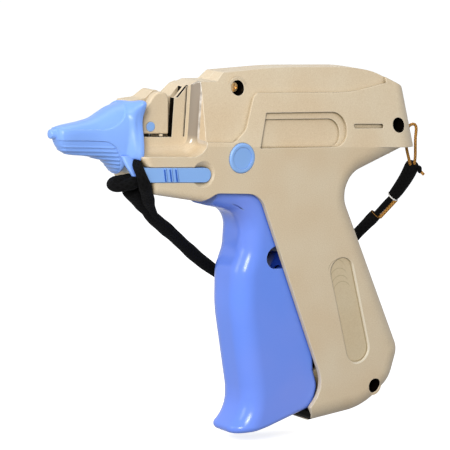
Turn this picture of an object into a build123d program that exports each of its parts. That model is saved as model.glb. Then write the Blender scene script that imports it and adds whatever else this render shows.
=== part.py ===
from build123d import *
import math
import os

# Garment tag attacher: a trigger gun that shoots plastic tag fasteners through a hollow needle.
# Millimetres. The needle's axis is the X axis, the needle points to -X, +Z is up and Y=0 is the
# plane on which the two housing halves meet. The left half, with the button, is on -Y.

# ---- driving dimensions ----

HALF_WIDTH = 15.0  # from the centre plane to the side of the body and grip
WALL = 2.2  # housing wall
TAPER = 15.3  # degrees, the upper body leans inwards
TAPER_FOOT = -3.0  # height at which the lean starts
REAR_ROUND = 12.0  # rounding of the upper body's rear end, seen from above
GRIP_ROUND = 8.0  # rounding of the grip's rear edges
PANEL_DEPTH = 1.2  # how far the upper panel lies below the raised flank
FIT = 0.05  # radial clearance of a pin or rod that turns or slides

HINGE = (79.0, -100.0)  # trigger hinge, X and Z
LEVER_PIVOT = (79.0, -46.5)  # drive lever pivot, X and Z
SQUEEZE = 11.5  # degrees of trigger travel
LEVER_BACK = 29.0  # degrees, the lever leans back at rest
LEVER_FORWARD = 26.0  # degrees, the lever leans forward at full squeeze

TRIGGER_HALF = 12.0
TRIGGER_WALL = 2.0
TRIGGER_ROUND = 8.0  # rounding of the trigger's front edges
TRIGGER_SOLE_ROUND = 2.0  # and of the rim of its foot
FOOT_TOP = -112.0
TRIGGER_SLOT_HALF = 12.8  # half width of the opening that takes the trigger

ROD_RADIUS = 0.75
ROD_TIP_REST = 24.2  # the rod waits behind the fastener bar
NEEDLE_RADIUS = 1.25
NEEDLE_TIP = -25.0
FASTENER_BAR = (12.2, 23.2)  # X range of the channel that holds the fastener bars
CHANNEL = (-1.6, 1.5)  # Y range of that channel
LEDGE_TOP = -0.45  # lower edge of the slot that lets the filament pass
NOSE_FACE = -4.5  # near face of the slim nose

PIN_RADIUS = 2.0
LINK_RADIUS = 1.5
SCREW_SITES = ((45.4, 19.6, -5.0), (122.6, 5.9, -6.5), (118.6, -101.7, -7.5))  # X, Z, head top
SCREW_HEAD_RADIUS = 2.6
SCREW_SHANK_RADIUS = 1.5
SCREW_HEAD_HEIGHT = 1.8
SCREW_RECESS_RADIUS = 3.0
SCREW_END = 5.8  # Y of the screws' points, in the right half
SCREW_CROSS = (3.0, 1.6, 0.7)  # one arm of the cross: length, depth twice, width
BOSS_RADIUS = 4.3

BUTTON = (44.9, -7.5)
BUTTON_RADIUS = 6.0
BUTTON_PROUD = 0.6
BUTTON_TRAVEL = 1.8

BAR_CENTRE = -14.15  # height of the lock lever's bar
BAR_HALF = 2.85
BAR_END = 27.8  # centre of the bar's round end
BAR_PIVOT = (6.0, -12.0)  # X and Y
BAR_FLOOR = -12.5  # Y of the groove's floor

WHEEL = (6.1, 5.0)  # Y and Z of the feed wheel's axis
WHEEL_RADIUS = 4.9
WHEEL_TEETH = 10
WHEEL_SPAN = (15.6, 19.4)
PAWL_PIVOT = (8.2, -6.6)  # Y and Z
SHAFT_RADIUS = 0.8  # of the wheel's, the pawl's and the lock lever's pins
SHAFT_SPAN = (12.8, 22.2)

GUIDE_PIN = (7.9, 3.6)  # X and Z of the pin that holds the front guide
GUIDE_PIN_RADIUS = 1.25
GUIDE_PIN_HEAD = 1.9
GUIDE_RIM_ROUND = 0.8
BUSH_RADIUS = 2.5
BUSH_SPAN = (27.0, 34.0)
BASE_RADIUS = 3.0  # of the needle base's round neck
HINGE_BOSS = 5.0  # radius of the hinge lugs and of the lever's hub
HINGE_LUG = (4.5, 9.0)  # Y range of the lugs between the trigger's walls
PIVOT_BOSS = 3.2
NOTCH = (66.8, -48.0)  # round end of the trigger's rear notch, X and Z
NOTCH_HALF = 4.6

PISTON_FRONT = 12.0  # from the piston's pin to its front face
PISTON_REAR = 9.0
STRAP_RADIUS = 2.8
LOOP_CENTRE = (-5.45, -9.0, -17.8)  # of the strap's front loop, round the cap's hook
LOOP_TILT = 14.0  # degrees, its rear side is the higher
LOOP_RADII = (4.4, 2.4)  # of the ring and of its section
CORD_RADIUS = 0.65

OUT = "parts"


def outline(corners):
    """Closed outline in the XZ plane from corners of (x, z, corner radius)."""
    points = [(x, z) for x, z, _ in corners]
    wire = FilletPolyline(*points, radius=[radius for *_, radius in corners], close=True)
    return make_face(Plane.XZ * wire)


def inset(corners, depth):
    """The corners of the same outline drawn further in."""
    moved = []
    area = sum(
        here[0] * after[1] - after[0] * here[1]
        for here, after in zip(corners, corners[1:] + corners[:1])
    )
    inwards = math.copysign(1, area)
    for before, here, after in zip(corners[-1:] + corners[:-1], corners, corners[1:] + corners[:1]):
        run_in = Vector(here[0] - before[0], here[1] - before[1]).normalized()
        run_out = Vector(after[0] - here[0], after[1] - here[1]).normalized()
        normal_in = Vector(-run_in.Y, run_in.X) * inwards
        normal_out = Vector(-run_out.Y, run_out.X) * inwards
        shift = (normal_in + normal_out) * (depth / (1 + normal_in.dot(normal_out)))
        convex = (run_in.X * run_out.Y - run_in.Y * run_out.X) * inwards > 0
        radius = max(here[2] - depth, 0) if convex else here[2] + depth * (here[2] > 0)
        moved.append((here[0] + shift.X, here[1] + shift.Y, radius))
    return tuple(moved)


def slab(face, y0, y1):
    """An XZ outline made solid from y0 to y1."""
    return Pos(0, y0, 0) * extrude(face, amount=y1 - y0, dir=(0, 1, 0))


def block(x0, x1, y0, y1, z0, z1):
    size = (x1 - x0, y1 - y0, z1 - z0)
    return Pos((x0 + x1) / 2, (y0 + y1) / 2, (z0 + z1) / 2) * Box(*size)


def rod_y(x, z, radius, y0, y1):
    """A round bar along Y."""
    return Pos(x, (y0 + y1) / 2, z) * Rot(90, 0, 0) * Cylinder(radius, y1 - y0)


def rod_x(y, z, radius, x0, x1):
    """A round bar along X."""
    return Pos((x0 + x1) / 2, y, z) * Rot(0, 90, 0) * Cylinder(radius, x1 - x0)


def rod_z(x, y, radius, z0, z1):
    """A round bar along Z."""
    return Pos(x, y, (z0 + z1) / 2) * Cylinder(radius, z1 - z0)


def turned(solid, centre, degrees):
    """The solid swung about a Y axis, its top towards +X for a positive angle."""
    x, z = centre
    return Pos(x, 0, z) * Rot(0, degrees, 0) * Pos(-x, 0, -z) * solid


def coil(radius, wire, length, turns):
    """A compression spring along +Z from the origin."""
    path = Helix(pitch=(length - 2 * wire) / turns, height=length - 2 * wire, radius=radius)
    start = Plane(origin=path @ 0, z_dir=path % 0)
    return Pos(0, 0, wire) * sweep(start * Circle(wire), path=path)


def tube(points, radius, close_ends=None):
    """A cord through the points: straight runs with arcs as large as the runs allow."""
    radii = []
    for before, here, after in zip(points, points[1:], points[2:]):
        run_in = Vector(*here) - Vector(*before)
        run_out = Vector(*after) - Vector(*here)
        half_turn = math.radians(run_in.get_angle(run_out)) / 2
        radii.append(0.45 * min(run_in.length, run_out.length) / math.tan(half_turn))
    print("cord radii", [round(value, 1) for value in radii])
    path = FilletPolyline(*points, radius=radii)
    start = Plane(origin=path @ 0, z_dir=path % 0)
    solid = sweep(start * Circle(radius), path=path)
    print("cord length", round(path.length, 1), "volume", round(solid.volume))
    print("section times length", round(math.pi * radius**2 * path.length))
    return solid


# ---- housing ----

# Side outline of the grip and the underside, closed where the upper body's lean starts.
GRIP_OUTLINE = (
    (-0.5, TAPER_FOOT, 0),
    (-0.5, -8, 0),
    (5.5, -22, 4),
    (28, -25, 0),
    (34.5, -21.4, 6),
    (55.2, -21.8, 9.5),
    (89.4, -93.3, 0),
    (92.9, -101.3, 11.5),
    (87, -109.6, 0),
    (90.5, -116, 0),
    (117, -111.5, 28),
    (129.2, -100, 14),
    (132.4, -86.5, 9),
    (95.8, -17.3, 10.5),
    (129.1, TAPER_FOOT, 0),
)
# Side outline of the upper body behind the nose.
BODY_OUTLINE = (
    (-0.5, -3, 0),
    (131, -3, 0),
    (135, -0.5, 2.5),
    (134.4, 6, 9),
    (128.2, 20.8, 8),
    (112.5, 27.3, 30),
    (101, 28.7, 60),
    (66, 28, 150),
    (39.2, 25.5, 1.2),
    (36, 22, 1),
    (28.5, 21.8, 0),
    (-0.5, 21.8, 0),
)
# The panel above the raised flank: its lower edge is the ridge seen on the side.
PANEL_OUTLINE = (
    (26, -1.4, 0),
    (41.5, -1.5, 5),
    (47.2, 3.5, 5),
    (52.6, 17.7, 3.5),
    (100, 18.6, 60),
    (118, 22.6, 0),
    (118, 40, 0),
    (26, 40, 0),
)
# Everything above the nose's stepped top is cut away, up to the front facet.
NOSE_TOP_CUT = (
    (-2, -7.2, 0),
    (1, -7.2, 0),
    (1, 13, 1),
    (8, 14, 3),
    (13.5, 18.9, 2.5),
    (15.6, 15, 1.2),
    (19.5, 14.9, 2),
    (23.7, 19.8, 3),
    (28.5, 21.8, 0),
    (28.5, 40, 0),
    (-2, 40, 0),
)
# Opening for the trigger: the front of the grip and the arch above it.
TRIGGER_OPENING = (
    (31, -17.6, 3),
    (31, -45, 0),
    (60, -130, 0),
    (89.5, -130, 0),
    (89.5, -112, 0),
    (95, -106, 0),
    (95, -90, 0),
    (66, -17.6, 0),
)
RECESS_CORNER = (28.5, -7.2)
RECESS_ROUND = 7.0
RECESS_COVE = 4.5
LABEL_RECESS = (
    (57.5, 10.2, 0.5),
    (96.6, 11.0, 6.4),
    (96.0, -2.9, 6.8),
    (53.2, -3.7, 0.5),
)
LABEL_STEP = (
    (57.4, 7.6, 0.5),
    (93.4, 8.2, 5),
    (93.0, -2.9, 5.5),
    (53.2, -3.7, 0.5),
)
REAR_SLOT = (
    (100, 4.4, 0.8),
    (100, 6.2, 0.8),
    (114.8, 6.3, 0.8),
    (114.8, 4.6, 0.8),
)
# Way of the cord through the solid rear corner of the left half, from below to the rear face.
CORD_WAY = (
    (131.8, -6.5, -8.0),
    (131.5, -6.5, 0.6),
    (131.7, -6.5, 3.6),
    (132.6, -6.5, 5.2),
    (138.6, -6.5, 7.3),
)
CORD_WAY_BENDS = (6, 3, 2)
CORD_WAY_RADIUS = 1.05
GRIP_OVAL = ((97.5, -53.5), (108.3, -86.0))
GRIP_OVAL_HALF = 5.6


def upper_form(inset):
    """The leaning upper body, with its rear end rounded in plan."""
    half = HALF_WIDTH - inset
    length = 200.0
    rear = BODY_OUTLINE[2][0] - min(inset, WALL)
    plan = Pos(rear - length / 2, 0, TAPER_FOOT) * RectangleRounded(
        length, 2 * half, REAR_ROUND - min(inset, WALL)
    )
    return extrude(plan, amount=33, taper=TAPER)


def grip_form(face, half, front_round, rear_round):
    """The grip and the front of the underside, with their outer edges rounded."""
    solid = slab(face, -half, half)
    front, rear = [], []
    for edge in solid.edges():
        centre = edge.center()
        if abs(centre.Y) < half - 1 or centre.Z > TAPER_FOOT:
            continue
        if centre.X < 28:
            front.append(edge)
        elif centre.X > 93:
            rear.append(edge)
    solid = fillet(rear, rear_round)
    front = [
        edge
        for edge in solid.edges()
        if abs(edge.center().Y) > half - 0.1
        and edge.center().X < 28
        and edge.center().Z < TAPER_FOOT
    ]
    return fillet(front, front_round)


def housing_shell():
    """Both halves as one hollow shell, before bosses and seats are added."""
    grip_face = outline(GRIP_OUTLINE)
    body = slab(outline(BODY_OUTLINE), -HALF_WIDTH, HALF_WIDTH)
    panel = slab(outline(PANEL_OUTLINE), -HALF_WIDTH - 1, HALF_WIDTH + 1)
    flank = (body & upper_form(0)) - panel
    outer = flank + (body & upper_form(PANEL_DEPTH))
    outer += grip_form(grip_face, HALF_WIDTH, 3.0, GRIP_ROUND)
    outer -= slab(outline(NOSE_TOP_CUT), -HALF_WIDTH - 1, HALF_WIDTH + 1)

    inner_face = outline(inset(GRIP_OUTLINE, WALL))
    inner = slab(inner_face, -(HALF_WIDTH - WALL), HALF_WIDTH - WALL)
    rear_edges = [
        edge
        for edge in inner.edges()
        if abs(edge.center().Y) > 12
        and edge.center().Z < -5.3
        and math.hypot(edge.center().X - HINGE[0], edge.center().Z - HINGE[1]) > 22
        and edge.center().X > 91
    ]
    inner = fillet(rear_edges, GRIP_ROUND - WALL)
    inner_body = slab(outline(inset(BODY_OUTLINE, WALL)), -14, 14)
    inner += inner_body & upper_form(WALL + PANEL_DEPTH)
    inner += block(34, 109, -11, 11, TAPER_FOOT - 6, TAPER_FOOT + 6)
    inner += block(34, 118, -11, 11, TAPER_FOOT - 2.3, TAPER_FOOT + 6)
    inner -= block(-10, 33, -20, 20, -40, 40)
    opening = slab(outline(TRIGGER_OPENING), -TRIGGER_SLOT_HALF, TRIGGER_SLOT_HALF)
    return outer - inner - opening + (outer & block(128.6, 136, -11, -2.9, -6, 9.6))


def halves():
    shell = housing_shell()
    reach = 60.0
    left = shell & block(-20, 160, -reach, 0, -160, 60)
    right = shell & block(-20, 160, 0, reach, -160, 60)

    # What both halves carry inside, written for +Y and mirrored for the left half.
    inner_parts = []
    for x, z, _ in SCREW_SITES:
        side = 7.4 if z > 15 else 11.5 if z > 0 else 13.5
        inner_parts.append(rod_y(x, z, BOSS_RADIUS, 0, side))
    pivot_x, pivot_z = LEVER_PIVOT
    inner_parts.append(rod_y(pivot_x, pivot_z, PIVOT_BOSS, 5.1, 13.5))
    # Lug that reaches forward between the trigger's walls and carries its hinge pin.
    hinge_x, hinge_z = HINGE
    y0, y1 = HINGE_LUG
    low, high = hinge_z - HINGE_BOSS, hinge_z + HINGE_BOSS
    inner_parts.append(rod_y(hinge_x, hinge_z, HINGE_BOSS, y0, y1))
    inner_parts.append(block(hinge_x, 100, y0, y1, low, high))
    inner_parts.append(block(hinge_x + 13.2, 100, y0, 13.5, low, high))
    # Rails above and below the piston's side tongues.
    for z0, z1 in ((1.7, 3.5), (-3.5, -1.7)):
        inner_parts.append(block(49, 112, 6.6, 12.6, z0, z1))
    # Wall behind the rubber buffer, and the wall that holds the rod bush.
    inner_parts.append(block(117.2, 119.2, 0, 12, -6, 6))
    inner_parts.append(block(31, 34, 0, 12.5, -17, 12))

    left = left + [mirror(part, about=Plane.XZ) for part in inner_parts]
    right = right + inner_parts

    # The slim nose: the left half is cut back to let the fasteners' ends hang beside it.
    cutter = slab(
        outline(
            (
                (-30, RECESS_CORNER[1], 0),
                (*RECESS_CORNER, RECESS_ROUND),
                (RECESS_CORNER[0], 60, 0),
                (-30, 60, 0),
            )
        ),
        -40,
        NOSE_FACE,
    )
    inner_edges = [
        edge
        for edge in cutter.edges()
        if abs(edge.center().Y - NOSE_FACE) < 0.1
        and edge.center().X > -20
        and edge.center().Z < 50
    ]
    left -= fillet(inner_edges, RECESS_COVE)
    return left, right


def cord_way():
    """The curved bore that the strap's cord is threaded through."""
    path = FilletPolyline(*CORD_WAY, radius=CORD_WAY_BENDS)
    start = Plane(origin=path @ 0, z_dir=path % 0)
    return sweep(start * Circle(CORD_WAY_RADIUS), path=path)


def build_housing():
    left, right = halves()
    pivot_x, pivot_z = LEVER_PIVOT
    hinge_x, hinge_z = HINGE

    # Fastener channel, open at the top, and the way from it to the needle.
    x0, x1 = FASTENER_BAR
    channel = block(x0, x1, CHANNEL[0], CHANNEL[1], -1.0, 40)
    channel += block(-1, x0, CHANNEL[0], CHANNEL[1], -1.0, 1.0)
    # The front guide's foot stands on the far wall; the plate has its own gap all round.
    guide_gap = block(-5, 18.0, -20, CHANNEL[0], LEDGE_TOP, 40)
    guide_gap += block(-5, x0, -20, CHANNEL[1], LEDGE_TOP, 40)
    # Shallow groove on the rear guide.
    guide_groove = block(23.2, 23.9, -20, NOSE_FACE + 0.5, -0.2, 40)

    base_pocket = block(-2, 12.2, -2.7, 2.7, -8.2, 0.6) + block(-2, 12.2, -4.2, 4.2, -15.2, -8.2)
    base_pocket += rod_x(0, 0, BASE_RADIUS + 0.1, -4, 4.4)
    rod_way = rod_x(0, 0, 1.2, x1 - 1, BUSH_SPAN[0]) + rod_x(0, 0, BUSH_RADIUS, BUSH_SPAN[0], 36)

    # Groove, pocket and finger dish of the lock lever, all in the left half.
    bar_mid = BAR_CENTRE
    gap = BAR_HALF + 0.2
    groove = block(-5, BAR_END, -20, BAR_FLOOR, bar_mid - gap, bar_mid + gap)
    groove += rod_y(BAR_END, bar_mid, gap, -20, BAR_FLOOR)
    dish = Pos(BAR_END - 0.6, -HALF_WIDTH - 6.3, bar_mid + 0.3) * Sphere(8.2)
    pocket = block(-3, 13, BAR_FLOOR, -4.19, bar_mid - 3.05, bar_mid + 3.05)
    lock_pin = rod_z(*BAR_PIVOT, SHAFT_RADIUS, bar_mid - 6.5, bar_mid + 6.0)

    # Wheel, pawl and detent pocket in the right half.
    wheel_y, wheel_z = WHEEL
    feed_pocket = rod_x(wheel_y, wheel_z, WHEEL_RADIUS + 0.5, 15.2, 19.8)
    feed_pocket += block(15.2, 19.8, 4.5, 11.4, -9.2, 2)
    feed_pocket += block(15.2, 19.8, 10.9, 11.7, -3, 9.5)
    shaft_hole = rod_x(wheel_y, wheel_z, SHAFT_RADIUS, *SHAFT_SPAN)
    pawl_hole = rod_x(*PAWL_PIVOT, SHAFT_RADIUS, *SHAFT_SPAN)
    blade_seat = block(11.0, 11.6, CHANNEL[1] - 0.3, 5.2, -1.0, 6)

    # Seats for pins and screws.
    lever_pin_hole = rod_y(pivot_x, pivot_z, PIN_RADIUS, -12.9, 12.9)
    hinge_pin_hole = rod_y(hinge_x, hinge_z, PIN_RADIUS, -9.5, 9.5)
    guide_pin_hole = rod_y(*GUIDE_PIN, GUIDE_PIN_RADIUS, 0, 6)

    left -= channel + guide_gap + guide_groove + base_pocket + rod_way
    left -= groove + dish + pocket + lock_pin + lever_pin_hole + hinge_pin_hole
    left += rod_y(*BUTTON, 7.6, -13.2, -8.6)
    left -= rod_y(*BUTTON, BUTTON_RADIUS + 0.1, -20, -9.6)
    left -= rod_y(*BUTTON, 2.1, -10, -8)
    for x, z, head_top in SCREW_SITES:
        left -= rod_y(x, z, SCREW_RECESS_RADIUS, -20, head_top + SCREW_HEAD_HEIGHT)
        left -= rod_y(x, z, SCREW_SHANK_RADIUS + 0.2, -20, 1)
        right -= rod_y(x, z, SCREW_SHANK_RADIUS, -1, 6)
    for corners, depth in ((LABEL_RECESS, 1.1), (LABEL_STEP, 2.0), (REAR_SLOT, 1.0)):
        left -= side_recess(corners, depth)
    left -= grip_oval()
    right -= mirror(grip_oval(), about=Plane.XZ)
    left -= cord_way()

    foot_gap = block(-5, x0, -1, CHANNEL[1], -1.0, 40)
    right -= channel + foot_gap + base_pocket + rod_way + feed_pocket + shaft_hole + pawl_hole
    right -= blade_seat + guide_pin_hole + lever_pin_hole + hinge_pin_hole
    return {"housing_left": left, "housing_right": right}


def side_recess(corners, depth):
    """A recess in the left side whose floor leans with the body."""
    floor = upper_form(depth) + block(0, 130, -HALF_WIDTH + depth, 0, TAPER_FOOT - 3, TAPER_FOOT)
    return slab(outline(corners), -20, -5) - floor


def grip_oval():
    """Shallow long oval pressed into the side of the grip."""
    (x0, z0), (x1, z1) = GRIP_OVAL
    middle = ((x0 + x1) / 2, (z0 + z1) / 2)
    length = math.hypot(x1 - x0, z1 - z0)
    lean = math.degrees(math.atan2(z1 - z0, x1 - x0))
    face = Plane.XZ * (Pos(*middle) * Rot(0, 0, lean) * SlotCenterToCenter(length, 2 * GRIP_OVAL_HALF))
    return slab(face, -HALF_WIDTH - 1, -HALF_WIDTH + 0.7)


def build_screws():
    screws = []
    for x, z, head_top in SCREW_SITES:
        head = rod_y(x, z, SCREW_HEAD_RADIUS, head_top, head_top + SCREW_HEAD_HEIGHT)
        for angle in (0, 90):
            head -= Pos(x, head_top, z) * Rot(0, angle, 0) * Box(*SCREW_CROSS)
        screw = head + rod_y(x, z, SCREW_SHANK_RADIUS, head_top + SCREW_HEAD_HEIGHT, SCREW_END)
        screws.append(screw.solid())
    return {"housing_screws": Compound(children=screws)}


# ---- nose: guide, needle, feed ----


def build_nose():
    plate = slab(
        outline(
            (
                (5.0, 0.7, 0.4),
                (3.6, 8.5, 8),
                (9.6, 17.4, 4.5),
                (15.5, 17.0, 3.2),
                (16.6, 0.7, 0.6),
            )
        ),
        NOSE_FACE,
        CHANNEL[0],
    )
    near = plate.edges().group_by(Axis.Y)[0]
    plate = fillet([edge for edge in near if edge.center().Z > 1], GUIDE_RIM_ROUND)
    foot = slab(outline(((5.4, 1.5, 0), (5.0, 11, 0), (11.4, 11, 0), (11.4, 1.5, 0))), *CHANNEL)
    tooth = block(12.4, 13.8, NOSE_FACE, NOSE_FACE + 1, -0.2, 0.8)
    guide = plate + foot + tooth
    guide -= rod_y(*GUIDE_PIN, GUIDE_PIN_HEAD, -6, -3.6) + rod_y(*GUIDE_PIN, GUIDE_PIN_RADIUS, -4, 2)
    guide_pin = rod_y(*GUIDE_PIN, GUIDE_PIN_HEAD, NOSE_FACE - 0.3, -3.6)
    guide_pin += rod_y(*GUIDE_PIN, GUIDE_PIN_RADIUS, -3.6, 5.8)

    base = block(1.2, 12.0, -2.6, 2.6, -8.2, -1.0) + block(1.2, 12.0, -4.1, 4.1, -15.0, -8.2)
    base += rod_x(0, 0, BASE_RADIUS, -3.5, 4.2)
    base -= rod_x(0, 0, NEEDLE_RADIUS, -5, 4.0) + rod_x(0, 0, 1.1, 3, 5)
    base -= block(-5, 5, -4, 0, -0.4, 0.5)
    needle = rod_x(0, 0, NEEDLE_RADIUS, NEEDLE_TIP, 4.0)
    needle -= rod_x(0, 0, ROD_RADIUS + FIT + 0.02, NEEDLE_TIP - 1, 5)
    needle -= block(NEEDLE_TIP - 1, 5, -2, 0, -0.35, 0.35)
    bevel = Pos(NEEDLE_TIP - 2.2, 0, 2.4) * Rot(0, -28, 0) * Box(9, 6, 4)
    needle -= bevel
    blade = block(11.0, 11.6, CHANNEL[1] - 0.3, 5.2, -1.0, 6) - block(11, 12, 1, CHANNEL[1], 1.5, 6)
    bush = rod_x(0, 0, BUSH_RADIUS, *BUSH_SPAN) - rod_x(0, 0, ROD_RADIUS + 0.06, 26, 36)
    return {
        "front_guide": guide,
        "guide_pin": guide_pin,
        "needle_base": base,
        "needle_tube": needle,
        "cutter_blade": blade,
        "rod_bush": bush,
    }


def build_feed():
    wheel_y, wheel_z = WHEEL
    x0, x1 = WHEEL_SPAN
    wheel = rod_x(wheel_y, wheel_z, 3.4, x0, x1)
    for index in range(WHEEL_TEETH):
        angle = 360 / WHEEL_TEETH * index
        tooth = Rot(angle, 0, 0) * Pos(0, 0, 3.9) * Box(x1 - x0, 1.1, 2.0)
        wheel += Pos((x0 + x1) / 2, wheel_y, wheel_z) * tooth
    wheel &= rod_x(wheel_y, wheel_z, WHEEL_RADIUS, x0, x1)
    wheel -= rod_x(wheel_y, wheel_z, SHAFT_RADIUS + FIT, x0 - 1, x1 + 1)
    shaft = rod_x(wheel_y, wheel_z, SHAFT_RADIUS, *SHAFT_SPAN)
    pawl_pin = rod_x(*PAWL_PIVOT, SHAFT_RADIUS, *SHAFT_SPAN)
    arm = Plane.YZ * (Pos(7.6, -3.7) * Rot(0, 0, 102) * SlotCenterToCenter(5.6, 2.0))
    pawl = Pos(16.2, 0, 0) * extrude(arm, amount=2.6, dir=(1, 0, 0))
    pawl += rod_x(*PAWL_PIVOT, 1.6, 16.2, 18.8)
    pawl -= rod_x(*PAWL_PIVOT, SHAFT_RADIUS + FIT, 15, 20)
    detent = block(16.2, 18.8, 11.15, 11.5, -3.0, 8.6) + block(16.2, 18.8, 11.15, 11.7, -3.0, -1.6)
    return {
        "feed_wheel": wheel,
        "feed_wheel_shaft": shaft,
        "feed_pawl": pawl,
        "feed_pawl_pin": pawl_pin,
        "detent_spring": detent,
    }


# ---- trigger, lever and piston ----

# The front hollows out for the fingers and flares forward into a lip at the foot.
TRIGGER_FRONT = (
    (36.5, -27.6, 0),
    (52.4, -30.6, 9),
    (52.4, -45.5, 12),
    (49.7, -54, 14),
    (50.6, -70, 60),
    (58.6, -103, 20),
    (59.4, -112.8, 12.5),
)
TRIGGER_BACK = (
    (51.0, -119.6, 0),
    (53.6, -120.7, 1.5),
    (66, -118.7, 50),
    (83, -112.4, 0),
    (90.6, -109.6, 4),
    (92.2, -101.2, 7),
    (89.6, -94.5, 3),
    (86.5, -62, 12),
    (69.0, -19.9, 2),
    (36.5, -19.9, 0),
)
# Below the lip the rounding of the front runs on, so that it is cut off clean.
TRIGGER_RUN_OUT = (
    (43.5, -125.7, 14),
    (43.5, -150, 0),
    (110, -150, 0),
    (110, -19.9, 0),
    (36.5, -19.9, 0),
)
TRIGGER_CAVITY = (
    (55.4, -30, 0),
    (55.4, -45.2, 9),
    (52.7, -53.8, 11),
    (53.6, -70.2, 57),
    (62.0, -104.6, 17),
    (61.5, -109.5, 0),
    (84, -109.5, 0),
    (90, -94.5, 0),
    (84, -62, 0),
    (72, -30, 0),
)
TRIGGER_OPEN_REAR = ((70, -40, 0), (74, -106, 0), (100, -109.5, 0), (105, -40, 0))
TRIGGER_OPEN_TOP = (
    (42, -15, 0),
    (42, -25, 0),
    (60, -33, 0),
    (75, -50, 0),
    (100, -50, 0),
    (80, -15, 0),
)

# Sides of the drive lever's arm from its pivot upwards and back down, while it stands upright.
LEVER_FRONT = ((-4.5, 0), (-2.2, 8), (0.9, 13.5), (0.9, 27), (-1.8, 34), (-2.6, 41), (-4.3, 44.5))
LEVER_REAR = ((4.8, 46), (3.0, 39), (2.9, 35.5), (3.9, 30), (5.2, 25), (5.2, 15), (4.5, 0))
FORK_START = 46.4  # height above the pivot at which the upper fork slot begins
FORK_HALF = 2.35


def lever_link():
    """Distance of the link pin from the lever's pivot that gives both the same push."""
    span = LEVER_PIVOT[1] - HINGE[1]
    ratio = SQUEEZE / (LEVER_BACK + LEVER_FORWARD)
    return span * ratio / (1 + ratio)


def link_site():
    """Link pin at rest, on the trigger."""
    reach = LEVER_PIVOT[1] - HINGE[1] - lever_link()
    angle = math.radians(90 + SQUEEZE / 2)
    return HINGE[0] + reach * math.cos(angle), HINGE[1] + reach * math.sin(angle)


def build_trigger():
    hinge_x, hinge_z = HINGE
    form = slab(outline(TRIGGER_FRONT + TRIGGER_RUN_OUT), -TRIGGER_HALF, TRIGGER_HALF)
    front = [
        edge
        for edge in form.edges()
        if abs(edge.center().Y) > TRIGGER_HALF - 0.1
        and -149.9 < edge.center().Z < TRIGGER_FRONT[0][1]
        and edge.center().X < 62
    ]
    solid = fillet(front, TRIGGER_ROUND)
    solid &= slab(outline(TRIGGER_FRONT + TRIGGER_BACK), -TRIGGER_HALF, TRIGGER_HALF)
    sole_end = TRIGGER_BACK[3][0] - 0.1
    soles = [face for face in solid.faces() if face.normal_at().Z < -0.6 and face.center().Z < FOOT_TOP]
    edges = [edge for face in soles for edge in face.edges()]
    rim = [edge for edge in edges if edges.count(edge) == 1 and edge.center().X < sole_end]
    solid = fillet(rim, TRIGGER_SOLE_ROUND)

    inner_half = TRIGGER_HALF - TRIGGER_WALL
    cavity = slab(outline(TRIGGER_CAVITY), -inner_half, inner_half)
    inner_front = [
        edge
        for edge in cavity.edges()
        if abs(edge.center().Y) > inner_half - 0.1
        and -109.4 < edge.center().Z < -31
        and edge.center().X < 66
    ]
    cavity = fillet(inner_front, 5)
    cavity += slab(outline(TRIGGER_OPEN_REAR), -inner_half, inner_half)
    cavity += slab(outline(TRIGGER_OPEN_TOP), -inner_half, inner_half)
    solid -= cavity

    # Notch in both side walls that clears the lever's pivot bosses.
    notch_x, notch_z = NOTCH
    end_x, end_z = LEVER_PIVOT[0] + 15, LEVER_PIVOT[1]
    way = (
        (notch_x, notch_z - NOTCH_HALF, 0),
        (notch_x, notch_z + NOTCH_HALF, 0),
        (end_x, end_z + NOTCH_HALF, 0),
        (end_x, end_z - NOTCH_HALF, 0),
    )
    solid -= rod_y(*NOTCH, NOTCH_HALF, -14, 14) + slab(outline(way), -14, 14)

    # Blind bearings for the hinge pin and through seats for the link pin.
    for side in (-1, 1):
        y0, y1 = sorted((side * 9.1, side * 10.5))
        solid += rod_y(hinge_x, hinge_z, HINGE_BOSS, y0, y1)
        y0, y1 = sorted((side * 7.5, side * 10.5))
        solid += rod_y(*link_site(), 3.0, y0, y1)
    solid -= rod_y(hinge_x, hinge_z, PIN_RADIUS + FIT, -11.3, 11.3)
    solid -= rod_y(*link_site(), LINK_RADIUS, -11, 11)
    return {
        "trigger": solid,
        "link_pin": rod_y(*link_site(), LINK_RADIUS, -11, 11),
        "trigger_pivot_pin": rod_y(hinge_x, hinge_z, PIN_RADIUS, -11.2, 11.2),
    }


def piston_rest():
    """X of the piston pin at rest."""
    return LEVER_PIVOT[0] - LEVER_PIVOT[1] * math.tan(math.radians(LEVER_BACK))


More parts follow.
